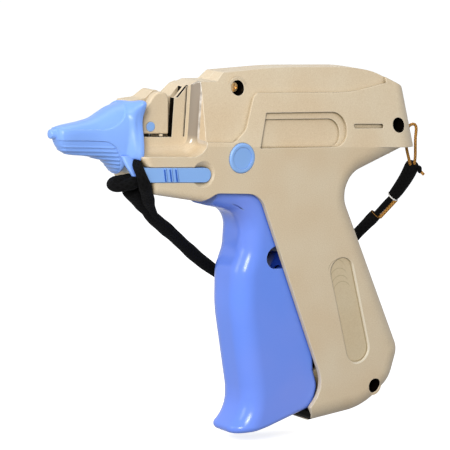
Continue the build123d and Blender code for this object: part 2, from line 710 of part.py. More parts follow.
def build_lever():
    """Drive lever: a flat arm with a fork slot at each end, modelled upright, then leaned back."""
    pivot_x, pivot_z = LEVER_PIVOT
    top = -pivot_z / math.cos(math.radians(LEVER_BACK))
    low_slot = lever_link()
    # The arm is cranked backwards, so that the trigger's front wall can close up in front of it.
    crank = (*LEVER_FRONT, (-4.3, top), (4.8, top), *LEVER_REAR)
    corners = [(pivot_x + x, pivot_z + z) for x, z in crank]
    arm = Plane.XZ * make_face(Polyline(*corners, close=True))
    arm += Plane.XZ * (Pos(pivot_x + 0.25, pivot_z + top) * Circle(4.55))
    arm += Plane.XZ * (Pos(pivot_x, pivot_z) * Circle(HINGE_BOSS))
    # The lower arm is turned a little, so that its slot hangs straight down at half squeeze.
    skew = -(LEVER_BACK - LEVER_FORWARD) / 2
    low = Plane.XZ * (Pos(pivot_x, pivot_z - 7) * Rectangle(8.4, 8))
    low += Plane.XZ * (Pos(pivot_x, pivot_z - low_slot - 1) * Circle(4.2))
    lever = slab(arm, -2, 2) + turned(slab(low, -2, 2), LEVER_PIVOT, skew)
    lever += rod_y(pivot_x, pivot_z, HINGE_BOSS, -5, 5)
    upper = SlotCenterToCenter(top - FORK_START, 2 * FORK_HALF)
    upper = Plane.XZ * (Pos(pivot_x + 0.25, pivot_z + (FORK_START + top) / 2) * Rot(0, 0, 90) * upper)
    lower = SlotCenterToCenter(1.3, 2 * 2.08)
    lower = Plane.XZ * (Pos(pivot_x, pivot_z - low_slot - 0.65) * Rot(0, 0, 90) * lower)
    lever -= slab(upper, -3, 3) + turned(slab(lower, -3, 3), LEVER_PIVOT, skew)
    lever -= rod_y(pivot_x, pivot_z, PIN_RADIUS + FIT, -6, 6)
    return {
        "drive_lever": turned(lever, LEVER_PIVOT, LEVER_BACK),
        "drive_lever_pin": rod_y(pivot_x, pivot_z, PIN_RADIUS, -12.9, 12.9),
    }


def build_piston():
    x = piston_rest()
    front, rear = x - PISTON_FRONT, x + PISTON_REAR
    piston = block(front, rear, -6, 6, -5, 5)
    piston = fillet(piston.edges().filter_by(Axis.X), 1.2)
    for side in (-1, 1):
        y0, y1 = sorted((side * 5.5, side * 8.0))
        piston += block(x - 4, x + 4, y0, y1, -1.6, 1.6)
    # The lever's fork works in this slot, closed in front where the rod is held.
    piston -= block(x - 8.2, rear + 1, -2.3, 2.3, -6, 6)
    piston -= rod_y(x, 0, LINK_RADIUS, -6, 6)
    piston -= rod_x(0, 0, ROD_RADIUS, front - 1, front + 3.2)
    rod = rod_x(0, 0, ROD_RADIUS, ROD_TIP_REST, front + 3.2)
    spring = coil(2.5, 0.45, front - 34, 10)
    spring = Pos(34, 0, 0) * Rot(0, 90, 0) * spring
    rubber = block(rear + 0.1, 117.2, -5, 5, -4.5, 4.5)
    rubber = fillet(rubber.edges().filter_by(Axis.X), 1.5)
    return {
        "piston": piston,
        "piston_pin": rod_y(x, 0, LINK_RADIUS, -6, 6),
        "push_rod": rod,
        "return_spring": spring,
        "rear_buffer": rubber,
    }


# ---- button, lock lever and cap ----


def build_button():
    x, z = BUTTON
    top = -HALF_WIDTH - BUTTON_PROUD
    head = rod_y(x, z, BUTTON_RADIUS, top, -12.4)
    head = chamfer(head.faces().sort_by(Axis.Y)[0].edges(), 0.5)
    head -= rod_y(x, z, BUTTON_RADIUS - 1.6, top - 1, top + 0.35)
    head += rod_y(x, z, 2.0, -12.6, -6.6)
    # Groove at the stem's end and the snap ring in it.
    ring = rod_y(x, z, 3.2, -8.5, -7.7) - rod_y(x, z, 1.6, -9, -7)
    head -= rod_y(x, z, 2.2, -8.5, -7.7) - rod_y(x, z, 1.6, -9, -7)
    spring = Pos(x, -9.6, z) * Rot(90, 0, 0) * coil(3.4, 0.3, 2.8, 3)
    return {"release_button": head, "button_ring": ring, "button_spring": spring}


def build_lock_lever():
    """Blue bar in the side groove: its front hub turns on a vertical pin and clamps the needle base."""
    bar_mid = BAR_CENTRE
    face = outline(
        (
            (-0.6, bar_mid + BAR_HALF, 0),
            (BAR_END + BAR_HALF, bar_mid + BAR_HALF, BAR_HALF - 0.01),
            (BAR_END + BAR_HALF, bar_mid - BAR_HALF, BAR_HALF - 0.01),
            (2.4, bar_mid - BAR_HALF, 0),
        )
    )
    top = -HALF_WIDTH - 0.2
    bar = slab(face, top, BAR_FLOOR - 0.15)
    for index in range(3):
        rib = Pos(9.6 + 2.6 * index, top, bar_mid) * Rot(0, -12, 0) * Cylinder(0.6, 2 * BAR_HALF - 0.8)
        bar += rib
    hub_x, hub_y = BAR_PIVOT
    bar += rod_z(hub_x, hub_y, 2.1, bar_mid - 2.6, bar_mid + 2.6)
    bar += block(hub_x - 1.2, hub_x + 1.2, hub_y, -4.3, bar_mid - 2.2, bar_mid + 2.2)
    bar -= rod_z(hub_x, hub_y, SHAFT_RADIUS + FIT, bar_mid - 4, bar_mid + 4)
    pin = rod_z(hub_x, hub_y, SHAFT_RADIUS, bar_mid - 6.5, bar_mid + 6.0)
    return {"lock_lever": bar, "lock_lever_pin": pin}


# Sections of the needle cap: X, half width, bottom, top, corner radius.
CAP_SECTIONS = (
    (-32.0, 3.3, -2.6, 2.7, 2.2),
    (-30.6, 4.0, -5.0, 3.1, 2.8),
    (-28.5, 4.6, -7.2, 3.7, 3.4),
    (-22.0, 5.3, -8.2, 5.1, 4.2),
    (-16.5, 6.4, -9.0, 6.8, 5.0),
    (-12.5, 7.9, -9.7, 9.1, 5.6),
    (-9.0, 9.5, -11.2, 11.3, 6.0),
    (-4.8, 11.4, -15.0, 13.2, 6.5),
)
CAP_WALL = 1.3
CAP_HOLLOW_DEPTH = 1.6
CAP_HOLLOW_SHIFT = 2.0
CAP_SKIRT_END = 0.8
CAP_SKIRT_START = -4.8
# The raised side: a rib along the barrel that forks towards the open end, X and Z.
CAP_FORK = (
    (-36, 2.1, 0),
    (-14.5, 2.5, 5),
    (-8.0, 4.4, 4),
    (-3.0, 15.5, 0),
    (-3.0, -17.5, 0),
    (-8.6, -3.6, 3.5),
    (-13.5, -2.1, 4),
    (-36, -2.1, 0),
)
CAP_FORK_PROUD = 0.7
CAP_RIBS = 6
CAP_RIB_PITCH = 1.75
CAP_RIB_TOP = -3.8
CAP_RIB_WIDTH = 0.6
# Half outline of the waisted band, Y and Z, from its top centre downwards.
CAP_BAND = (
    (9.0, 14.2, 2.5),
    (12.2, 12.4, 1.6),
    (8.2, 6.0, 5),
    (12.4, -1.0, 6),
    (12.9, -7.2, 2),
    (10.4, -9.4, 1.5),
)
CAP_SLEEVE_RADIUS = 4.2  # the inner sleeve that grips the needle's base
CAP_TIP = (-34.8, 2.0)  # front of the round tip, and its radius
HOOK_HALF = (1.4, 1.1)  # of the strap's hook, along X and Y
HOOK_REACH = (-1.4, 7.0)  # its ends, measured from the loop's centre
HOOK_ROUND = 1.0


def cap_loft(depth, x_shift):
    """The cap's form, drawn in by a depth and moved along the needle."""
    faces = []
    for x, half, bottom, top, radius in CAP_SECTIONS:
        middle = (top + bottom) / 2
        section = RectangleRounded(2 * (half - depth), top - bottom - 2 * depth, radius - depth)
        faces.append(Plane.YZ.offset(x + x_shift) * (Pos(0, middle) * section))
    return loft(faces)


def cap_skirt(depth, x0, x1):
    """The waisted band at the cap's open end."""
    half = []
    for y, z, radius in CAP_BAND:
        high = z - depth if z > 6 else z + depth if z < -5 else z
        half.append((y - depth, high, radius))
    points = half + [(-y, z, radius) for y, z, radius in reversed(half)]
    corners = [(y, z) for y, z, _ in points]
    line = FilletPolyline(*corners, radius=[radius for *_, radius in points], close=True)
    return extrude(Plane.YZ.offset(x0) * make_face(line), amount=x1 - x0, dir=(1, 0, 0))


def build_cap():
    form = cap_loft(0, 0)
    fork = slab(outline(CAP_FORK), -HALF_WIDTH, HALF_WIDTH)
    body = cap_loft(CAP_FORK_PROUD, 0) + (form & fork)
    # Finger ribs under the fork's rib, on both sides and across the bottom.
    grooved = cap_loft(0.25, 0) - fork
    for index in range(CAP_RIBS):
        top = CAP_RIB_TOP - CAP_RIB_PITCH * index
        bottom = top - CAP_RIB_WIDTH
        body += grooved & block(-32, CAP_SKIRT_START, -HALF_WIDTH, HALF_WIDTH, bottom, top)
    hollow = cap_loft(CAP_HOLLOW_DEPTH, CAP_HOLLOW_SHIFT)
    mouth = cap_skirt(CAP_WALL, CAP_SKIRT_START + 1.2, CAP_SKIRT_END + 1)
    skirt = cap_skirt(0, CAP_SKIRT_START - 0.2, CAP_SKIRT_END) - block(-0.7, 5, -20, 20, -20, -7.0)
    body = (body - hollow - mouth) + (skirt - hollow - mouth)
    # Sleeve that grips the needle's base, held by webs.
    sleeve = rod_x(0, 0, CAP_SLEEVE_RADIUS, -24, -0.4)
    webs = block(-30, -4, -0.7, 0.7, -12, 0) + block(-30, -4, -8, 8, -0.7, 0.7)
    webs += block(-30, -14, -0.7, 0.7, 0, 6)
    body += (sleeve + webs) & (cap_loft(CAP_FORK_PROUD + 0.3, 0) + block(-6, 0, -5, 5, -5, 5))
    tip_x, tip_radius = CAP_TIP
    body += rod_x(0, -0.2, tip_radius, tip_x, -31)
    body -= rod_x(0, 0, 1.9, -30, 0) + rod_x(0, 0, BASE_RADIUS + FIT, -3.8, 1)
    body -= rod_x(0, -0.2, 1.1, -33.6, -29)
    # Hook for the strap's loop.
    hook_x, hook_y, hook_z = LOOP_CENTRE
    half_x, half_y = HOOK_HALF
    foot, root = HOOK_REACH
    hook = Pos(hook_x, hook_y, hook_z + (root + foot) / 2) * Box(2 * half_x, 2 * half_y, root - foot)
    body += fillet(hook.edges().filter_by(Axis.Z), HOOK_ROUND)
    return {"needle_cap": body}


# ---- strap ----

STRAP_ROUTE = (
    (-0.86, -6.87, -20.65),
    (5.6, -4.0, -26.4),
    (12.5, -0.6, -31.6),
    (21.5, 4.4, -36.4),
    (30.6, 9.4, -41.2),
    (40.0, 14.4, -46.8),
    (50.5, 18.0, -53.4),
    (61.5, 19.2, -59.6),
    (74.0, 19.4, -64.2),
    (88.0, 19.2, -66.4),
    (101.0, 19.0, -64.0),
    (112.5, 18.8, -57.6),
    (121.5, 18.4, -49.6),
    (129.0, 16.6, -41.4),
    (134.4, 12.8, -33.6),
    (137.6, 8.0, -26.4),
)
SLEEVE_ROUTE = ((137.66, 7.91, -26.26), (138.72, 6.32, -23.88), (139.2, 1.0, -17.0), (137.8, -3.8, -11.6))
CORD_ROUTE = (
    (138.53, -4.13, -11.24),
    (137.7, -5.6, -8.4),
    (136.5, -6.5, -3.2),
    (136.2, -6.5, 0.4),
    (136.4, -6.5, 3.4),
    (136.0, -6.5, 5.2),
    (134.6, -6.5, 5.9),
    (132.6, -6.5, 5.2),
    (131.7, -6.5, 3.6),
    (131.5, -6.5, 0.6),
    (131.6, -6.5, -3.2),
    (133.9, -5.7, -7.9),
    (136.62, -3.93, -11.44),
)


def build_strap():
    strap = tube(STRAP_ROUTE, STRAP_RADIUS)
    sleeve = tube(SLEEVE_ROUTE, STRAP_RADIUS + 0.5)
    cord = tube(CORD_ROUTE, CORD_RADIUS)
    ring = Pos(*LOOP_CENTRE) * Rot(0, -LOOP_TILT, 0) * Torus(*LOOP_RADII)
    return {"strap": strap, "strap_sleeve": sleeve, "cord_loop": cord, "strap_loop": ring}


def build_all():
    nodes = {}
    for builder in (
        build_housing,
        build_screws,
        build_nose,
        build_feed,
        build_trigger,
        build_lever,
        build_piston,
        build_button,
        build_lock_lever,
        build_cap,
        build_strap,
    ):
        nodes.update(builder())
    return nodes


os.makedirs(OUT, exist_ok=True)
for name, solid in build_all().items():
    export_step(solid, f"{OUT}/{name}.step")
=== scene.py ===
import math

import bmesh
import bpy
from mathutils import Matrix, Vector


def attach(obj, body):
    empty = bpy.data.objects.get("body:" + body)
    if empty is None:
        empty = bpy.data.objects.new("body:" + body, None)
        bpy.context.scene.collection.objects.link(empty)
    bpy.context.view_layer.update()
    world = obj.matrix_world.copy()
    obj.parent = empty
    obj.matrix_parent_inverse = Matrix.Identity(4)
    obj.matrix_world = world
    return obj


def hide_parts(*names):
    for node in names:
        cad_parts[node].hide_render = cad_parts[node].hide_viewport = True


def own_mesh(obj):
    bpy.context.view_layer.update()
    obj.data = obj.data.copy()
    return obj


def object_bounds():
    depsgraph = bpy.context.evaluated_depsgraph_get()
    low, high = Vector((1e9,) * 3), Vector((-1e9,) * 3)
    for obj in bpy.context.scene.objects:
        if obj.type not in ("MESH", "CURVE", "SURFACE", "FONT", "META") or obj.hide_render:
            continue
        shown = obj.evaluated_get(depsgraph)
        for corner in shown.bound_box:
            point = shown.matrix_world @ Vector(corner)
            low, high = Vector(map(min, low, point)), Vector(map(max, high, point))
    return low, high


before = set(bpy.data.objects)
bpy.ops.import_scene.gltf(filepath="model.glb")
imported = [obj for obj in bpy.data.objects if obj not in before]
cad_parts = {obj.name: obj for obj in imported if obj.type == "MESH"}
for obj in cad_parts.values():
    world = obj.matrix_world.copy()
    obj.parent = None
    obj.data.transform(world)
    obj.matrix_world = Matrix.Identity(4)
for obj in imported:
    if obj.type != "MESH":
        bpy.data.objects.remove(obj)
solid_low, solid_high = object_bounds()


# ---- view and light ----
# A tagging gun shot like a shop sample: lens far off and a little above the needle's line, one
# strong soft lamp beside the lens, weaker ones at the left and on top, and a pale room all round.

LENS_DISTANCE = 1.2
ROOM_STRENGTH = 0.42
BENCH_DROP = 0.004  # how far the bench lies below the tool
BENCH_LIFT = 0.72  # added for the eye alone, where 1 is white

for leftover in [thing for thing in bpy.data.objects if thing.type in ("CAMERA", "LIGHT")]:
    bpy.data.objects.remove(leftover)


def put(name, data):
    """A new object in the scene."""
    thing = bpy.data.objects.new(name, data)
    bpy.context.collection.objects.link(thing)
    return thing


def add_node(tree, kind, settings=(), **links):
    """Adds a node. Settings are its own properties; links are its sockets' values or sources,
    where _0 is the first socket and any other key is a socket's name."""
    node = tree.nodes.new(kind)
    for name, value in dict(settings).items():
        setattr(node, name, value)
    for name, value in links.items():
        socket = node.inputs[int(name[1:]) if name[0] == "_" else name.replace("_", " ")]
        if isinstance(value, bpy.types.NodeSocket):
            tree.links.new(value, socket)
        else:
            socket.default_value = value
    return node


def maths(tree, operation, *values):
    """The result of one Math node; a value is a number or a socket."""
    links = {f"_{place}": value for place, value in enumerate(values)}
    return add_node(tree, "ShaderNodeMath", {"operation": operation}, **links).outputs[0]


def tint(code):
    """An sRGB hex colour as the linear values that a shader takes."""
    channels = [int(code[place : place + 2], 16) / 255 for place in (1, 3, 5)]
    return [c / 12.92 if c <= 0.04045 else ((c + 0.055) / 1.055) ** 2.4 for c in channels] + [1]


def mixed(tree, share, one, two, kind="MIX"):
    """Two colours mixed; a colour is a hex code or a socket."""
    one, two = [tint(c) if isinstance(c, str) else c for c in (one, two)]
    settings = {"data_type": "RGBA", "blend_type": kind}
    return add_node(tree, "ShaderNodeMix", settings, _0=share, _6=one, _7=two).outputs[2]


rough_right = Vector((0.832, -0.550, 0.068)).normalized()
sight_back = Vector((-0.554, -0.823, 0.123)).normalized()
sight_up = sight_back.cross(rough_right).normalized()
sight_right = sight_up.cross(sight_back)
aim = Vector((0.04905, 0.0, -0.03622))
lens_data = bpy.data.cameras.new("lens")
lens_data.sensor_width = 36
lens_data.lens = 240
lens_data.clip_end = 20
lens = put("lens", lens_data)
turn = Matrix((sight_right, sight_up, sight_back)).transposed().to_4x4()
lens.matrix_world = Matrix.Translation(aim + sight_back * LENS_DISTANCE) @ turn

scene = bpy.context.scene
scene.camera = lens
scene.view_settings.view_transform = "Standard"

# The eye, glass and gloss see a white room; matt surfaces are lit by a dimmer one.
room = bpy.data.worlds.new("pale_room")
room.use_nodes = True
scene.world = room
air = room.node_tree
air.nodes.clear()
ray = add_node(air, "ShaderNodeLightPath").outputs
seen = maths(air, "MAXIMUM", ray["Is Camera Ray"], ray["Is Transmission Ray"])
seen = maths(air, "MAXIMUM", seen, ray["Is Glossy Ray"])
dim = add_node(air, "ShaderNodeBackground", Color=tint("#EEF1F6"), Strength=ROOM_STRENGTH)
white = add_node(air, "ShaderNodeBackground", Color=(1, 1, 1, 1), Strength=1.0)
both = add_node(air, "ShaderNodeMixShader", _0=seen, _1=dim.outputs[0], _2=white.outputs[0])
add_node(air, "ShaderNodeOutputWorld", Surface=both.outputs[0])


def lamp(name, place, width, height, watts, colour):
    """A soft box that looks at the middle of the tool."""
    data = bpy.data.lights.new(name, "AREA")
    data.shape = "RECTANGLE"
    data.size, data.size_y = width, height
    data.energy = watts
    data.color = tint(colour)[:3]
    box = put(name, data)
    box.location = place
    box.rotation_euler = (Vector(place) - aim).to_track_quat("Z", "Y").to_euler()


lamp("soft_box_front", aim + sight_back * 1.0 - sight_right * 0.12 + sight_up * 0.22,
     0.26, 0.36, 8.2, "#FFFCF7")
lamp("soft_box_left", aim + sight_back * 0.55 - sight_right * 0.75 + sight_up * 0.30,
     0.30, 0.60, 2.6, "#F6F9FF")
lamp("soft_box_top", aim + Vector((0.05, 0.10, 0.80)), 0.60, 0.50, 1.6, "#FFFFFF")

bpy.ops.mesh.primitive_plane_add(size=8, location=(0.05, 0, solid_low.z - BENCH_DROP))
floor = bpy.context.object
floor.name = "floor"
bench = bpy.data.materials.new("white_laminate_bench")
bench.use_nodes = True
top = bench.node_tree
matt = top.nodes["Principled BSDF"]
matt.inputs["Roughness"].default_value = 0.9
matt.inputs["Specular IOR Level"].default_value = 0.0
# The eye sees a white bench with the tool's soft shadow on it; the light that the bench throws
# back up is that of a mid grey, so that the tool's undersides stay as dark as they are in a hand.
looking = add_node(top, "ShaderNodeLightPath").outputs
pale_top = mixed(top, looking["Is Camera Ray"], "#8C8C8C", "#F4F4F4")
top.links.new(pale_top, matt.inputs["Base Color"])
direct = maths(top, "MAXIMUM", looking["Is Camera Ray"], looking["Is Glossy Ray"])
lift = maths(top, "MULTIPLY", direct, BENCH_LIFT)
whiten = add_node(top, "ShaderNodeEmission", Color=(1, 1, 1, 1), Strength=lift)
lit = add_node(top, "ShaderNodeAddShader", _0=matt.outputs[0], _1=whiten.outputs[0])
top.links.new(lit.outputs[0], top.nodes["Material Output"].inputs["Surface"])
floor.data.materials.append(bench)


# ---- housing halves and front guide ----
# Injection-moulded ABS in a warm grey beige: two shells screwed together, and a guide pinned on.
# The mould was spark-eroded to a fine satin grain, but polished in the cove beside the nose.

LOOK_SAMPLES = 6  # rays of a Bevel or an Ambient Occlusion node
SCREW_AXES = ((0.0454, 0.0196), (0.1226, 0.0059), (0.1186, -0.1017))  # X and Z, in metres
WELL_RADIUS = 0.00304

# The grip's oval: X and Z of the centres of its two ends; half widths where its shadowed inner
# edge begins, at its rim, and where its lit outer edge ends; and how far out it lies at least.
OVAL_TOP, OVAL_FOOT = (0.0975, -0.0535), (0.1083, -0.0860)
OVAL_INNER, OVAL_RIM, OVAL_OUTER = 0.0049, 0.0055, 0.0062
OVAL_FACE = 0.0128
# It steps down in four terraces: X and Z of the arcs' centres, from the top one.
TERRACES = ((0.0951, -0.0531), (0.0967, -0.0567), (0.0977, -0.0597), (0.0988, -0.0622))
TERRACE_RADIUS, TERRACE_LINE, TERRACE_STRENGTH = 0.0043, 0.00019, 0.55
TERRACE_UP = (-0.297, 0, 0.955)

# Places on the housing: limits along X, Y and Z in metres, None where there is no limit. They are
# the polished cove, the fastener slot's inner walls and its slope, and the wedge under the trigger.
# The cove's painted shade comes on between two heights, and its painted highlight begins at an X.
COVE = ((None, 0.02845), (None, -0.0047), (-0.0071, None))
COVE_SHADE, COVE_EDGE = (-0.0035, 0.0005), 0.02815
SLOT_WALL = ((0.0159, 0.0245), (-0.00445, 0.0014), (-0.0004, None))
SLOPE_EDGE = ((0.0175, 0.0245), (-0.00445, -0.0031), (0.009, None))
WEDGE = ((None, 0.0902), (-0.0118, None), (None, -0.1085))


def plastic(name, roughness, ior=1.49):
    """A new node material; returns the material, its tree and its shader."""
    material = bpy.data.materials.new(name)
    material.use_nodes = True
    shader = material.node_tree.nodes["Principled BSDF"]
    shader.inputs["Roughness"].default_value = roughness
    shader.inputs["IOR"].default_value = ior
    return material, material.node_tree, shader


def dress(material, *nodes):
    """Gives CAD nodes a finish of their own, in the slots of their objects."""
    for name in nodes:
        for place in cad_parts[name].material_slots:
            place.material = material


def own_place(tree):
    """Where a point lies on its object."""
    return add_node(tree, "ShaderNodeTexCoord").outputs["Object"]


def axes_of(tree, vector):
    """X, Y and Z of a vector."""
    return add_node(tree, "ShaderNodeSeparateXYZ", Vector=vector).outputs


def facing_x(tree):
    """X of the surface's normal."""
    return axes_of(tree, add_node(tree, "ShaderNodeNewGeometry").outputs["Normal"])[0]


def seen_along_y(tree, x, z):
    """A place with its Y left out."""
    return add_node(tree, "ShaderNodeCombineXYZ", X=x, Z=z).outputs[0]


def vector_maths(tree, operation, *values, **links):
    """The result of one Vector Math node: a number where the operation gives one."""
    links |= {f"_{place}": value for place, value in enumerate(values)}
    node = add_node(tree, "ShaderNodeVectorMath", {"operation": operation}, **links)
    return node.outputs["Value" if operation in ("DISTANCE", "DOT_PRODUCT", "LENGTH") else "Vector"]


def fold_up(tree, operation, values):
    """Many values brought down to one by a Math operation."""
    total, *others = values
    for value in others:
        total = maths(tree, operation, total, value)
    return total


def product(tree, *shares):
    return fold_up(tree, "MULTIPLY", shares)


def above(tree, value, limit):
    return maths(tree, "GREATER_THAN", value, limit)


def below(tree, value, limit):
    return maths(tree, "LESS_THAN", value, limit)


def inside(tree, axes, limits):
    """1 inside a box, else 0."""
    shares = []
    for axis, (low, high) in zip(axes, limits):
        if low is not None:
            shares.append(above(tree, axis, low))
        if high is not None:
            shares.append(below(tree, axis, high))
    return product(tree, *shares)


def spread(tree, value, low=0.0, high=1.0, first=0.0, last=1.0):
    """A value between low and high, spread over first to last."""
    links = {"_1": low, "_2": high, "_3": first, "_4": last}
    return add_node(tree, "ShaderNodeMapRange", _0=value, **links).outputs[0]


def noise(tree, where, scale, **links):
    """Noise with so many waves to the metre."""
    return add_node(tree, "ShaderNodeTexNoise", Vector=where, Scale=scale, **links).outputs["Fac"]


def open_sky(tree, reach):
    """How much of the sky a point sees: 1 in the open, 0 in a hollow."""
    settings = {"samples": LOOK_SAMPLES}
    return add_node(tree, "ShaderNodeAmbientOcclusion", settings, Distance=reach).outputs["AO"]


def rounded_corners(tree, radius):
    """A normal that rounds the moulding's corners, and how near each point is to one."""
    rounded = add_node(tree, "ShaderNodeBevel", {"samples": LOOK_SAMPLES}, Radius=radius).outputs[0]
    true = add_node(tree, "ShaderNodeNewGeometry").outputs["Normal"]
    return rounded, spread(tree, vector_maths(tree, "DOT_PRODUCT", rounded, true), 0.995, 0.86)


def emboss(tree, shader, height, strength, depth, **links):
    """Bumps a surface by a height, up to a depth in metres."""
    links |= {"Height": height, "Strength": strength, "Distance": depth}
    bump = add_node(tree, "ShaderNodeBump", **links)
    tree.links.new(bump.outputs[0], shader.inputs["Normal"])


def screw_distance(tree, x, z):
    """How far a point lies from the nearest screw's axis."""
    flat = seen_along_y(tree, x, z)
    distances = [vector_maths(tree, "DISTANCE", flat, (axis_x, 0, axis_z))
                 for axis_x, axis_z in SCREW_AXES]
    return fold_up(tree, "MINIMUM", distances)


def terrace_shade_lines(tree, x, z):
    """Thin arcs of painted shade across the oval's terraces, each the upper part of a circle."""
    flat = seen_along_y(tree, x, z)
    lines = []
    for centre_x, centre_z in TERRACES:
        away = vector_maths(tree, "SUBTRACT", flat, (centre_x, 0, centre_z))
        far = vector_maths(tree, "LENGTH", away)
        upper = spread(tree, vector_maths(tree, "DOT_PRODUCT", away, TERRACE_UP), 0.0008, 0.0024)
        line = maths(tree, "COMPARE", far, TERRACE_RADIUS, TERRACE_LINE)
        lines.append(product(tree, line, upper))
    return product(tree, fold_up(tree, "MAXIMUM", lines), TERRACE_STRENGTH)


def oval_shades(tree, x, y, z):
    """Shares of painted shade on the oval's floor and inner edge, and of a painted highlight
    outside its rim.
    """
    axis = Vector((OVAL_FOOT[0] - OVAL_TOP[0], 0, OVAL_FOOT[1] - OVAL_TOP[1]))
    flat = seen_along_y(tree, x, z)
    away = vector_maths(tree, "SUBTRACT", flat, (OVAL_TOP[0], 0, OVAL_TOP[1]))
    along = vector_maths(tree, "DOT_PRODUCT", away, axis / axis.length_squared)
    held = add_node(tree, "ShaderNodeClamp", _0=along, _1=0.0, _2=1.0).outputs[0]
    off = vector_maths(tree, "SUBTRACT", away, vector_maths(tree, "SCALE", axis, Scale=held))
    far = vector_maths(tree, "LENGTH", off)
    lower_right = vector_maths(tree, "DOT_PRODUCT", off, (0.80, 0, -0.60))
    side = spread(tree, lower_right, 0.0008, 0.0036)
    on_face = above(tree, maths(tree, "ABSOLUTE", y), OVAL_FACE)
    base = product(tree, below(tree, far, OVAL_RIM), on_face)
    inner = product(tree, base, above(tree, far, OVAL_INNER), side)
    outer = product(tree, above(tree, far, OVAL_RIM), below(tree, far, OVAL_OUTER), side, on_face)
    return base, inner, outer


def moulded_abs():
    """Beige with flecks of 0.45 mm and clouds of 25 mm, painted highlights and painted shade."""
    material, tree, shader = plastic("beige_moulded_abs", 0.42)
    where = own_place(tree)
    axes = axes_of(tree, where)
    x, _, z = axes
    fleck = spread(tree, noise(tree, where, 2200.0, Detail=2.0, Roughness=0.6), 0.3, 0.7)
    cloud = noise(tree, where, 40.0, Detail=2.0)
    colour = mixed(tree, fleck, "#D6C5A8", "#E2D4BA")
    clouded = mixed(tree, 1.0, colour, "#F9F2EA", "MULTIPLY")
    colour = mixed(tree, spread(tree, cloud, 0.3, 0.7), colour, clouded)
    # The cove gets painted shade higher up. Its outer edge gets a pale, broken painted highlight.
    cove = inside(tree, axes, COVE)
    shaded = product(tree, cove, spread(tree, z, *COVE_SHADE))
    colour = mixed(tree, shaded, colour, "#978B7C")
    broken = spread(tree, noise(tree, where, 330.0), 0.35, 0.6, 0.15, 0.7)
    cove_highlight = product(tree, shaded, above(tree, x, COVE_EDGE), broken)
    colour = mixed(tree, cove_highlight, colour, "#F0ECE6")
    # Thin darker arcs of painted shade where the oval steps down.
    colour = mixed(tree, terrace_shade_lines(tree, x, z), colour, "#A8997A")
    # Corners get a pale painted highlight, hollows painted shade, and the deepest places black
    # painted shade.
    round_normal, corner = rounded_corners(tree, 0.0005)
    sky = open_sky(tree, 0.003)
    corner_highlight = product(tree, corner, spread(tree, sky, 0.78, 0.95, last=0.8))
    colour = mixed(tree, corner_highlight, colour, "#F3EAD6")
    colour = mixed(tree, spread(tree, sky, 0.78, 0.42, last=0.9), colour, "#84724F")
    colour = mixed(tree, spread(tree, sky, 0.42, 0.22, last=0.92), colour, "#120E09")
    # The oval's floor and inner edge get painted shade, its outer edge a painted highlight.
    shades = zip(oval_shades(tree, *axes), (0.30, 0.65, 0.75), ("#B9AA80", "#8F7C5A", "#F8F0DC"))
    for share, strength, code in shades:
        colour = mixed(tree, product(tree, share, strength), colour, code)
    # No light reaches the slot's inner walls, the wedge under the trigger or the screws' wells.
    # The masks of the wedge and the wells have no limit at the far side, so they also blacken
    # small parts of the far shell's plain face, which is a known fault.
    facing = facing_x(tree)
    slot_wall = product(tree, below(tree, facing, -0.93), inside(tree, axes, SLOT_WALL))
    slope_edge = product(tree, below(tree, facing, -0.45), inside(tree, axes, SLOPE_EDGE))
    dark = fold_up(tree, "MAXIMUM", (slot_wall, slope_edge, inside(tree, axes, WEDGE)))
    colour = mixed(tree, dark, colour, "#0E0B08")
    well = below(tree, screw_distance(tree, x, z), WELL_RADIUS)
    colour = mixed(tree, well, colour, "#0B0806")
    tree.links.new(colour, shader.inputs["Base Color"])
    shine = spread(tree, maths(tree, "MAXIMUM", dark, well), first=0.5, last=0.04)
    tree.links.new(shine, shader.inputs["Specular IOR Level"])
    grain = noise(tree, where, 2600.0, Detail=2.0)
    strength = spread(tree, cove, first=0.12, last=0.0)
    emboss(tree, shader, grain, strength, 0.00012, Normal=round_normal)
    satin = spread(tree, cloud, first=0.38, last=0.50)
    gloss = add_node(tree, "ShaderNodeMix", {"data_type": "FLOAT"}, _0=cove, _2=satin, _3=0.16)
    tree.links.new(gloss.outputs[0], shader.inputs["Roughness"])
    return material


beige_abs = moulded_abs()
dress(beige_abs, "front_guide")

# The wall that holds the rod's bush: its X, and its top. The panel beside it leans in above Z
# -3 mm, where it is 13.8 mm out. Below them, what is joined and dropped as too small to be a face.
BUSH_WALL_X, BUSH_WALL_TOP = (0.0308, 0.0342), 0.0121
PANEL_FOOT, PANEL_HALF, PANEL_LEAN = -0.003, 0.0138, math.radians(15.3)
WELD, FLAT_AREA, FLAT_WIDTH = 0.000002, 1e-11, 0.000003


def joined(mesh):
    """A mesh's loose triangles joined at their corners, to be worked on."""
    work = bmesh.new()
    work.from_mesh(mesh)
    bmesh.ops.remove_doubles(work, verts=work.verts, dist=WELD)
    return work


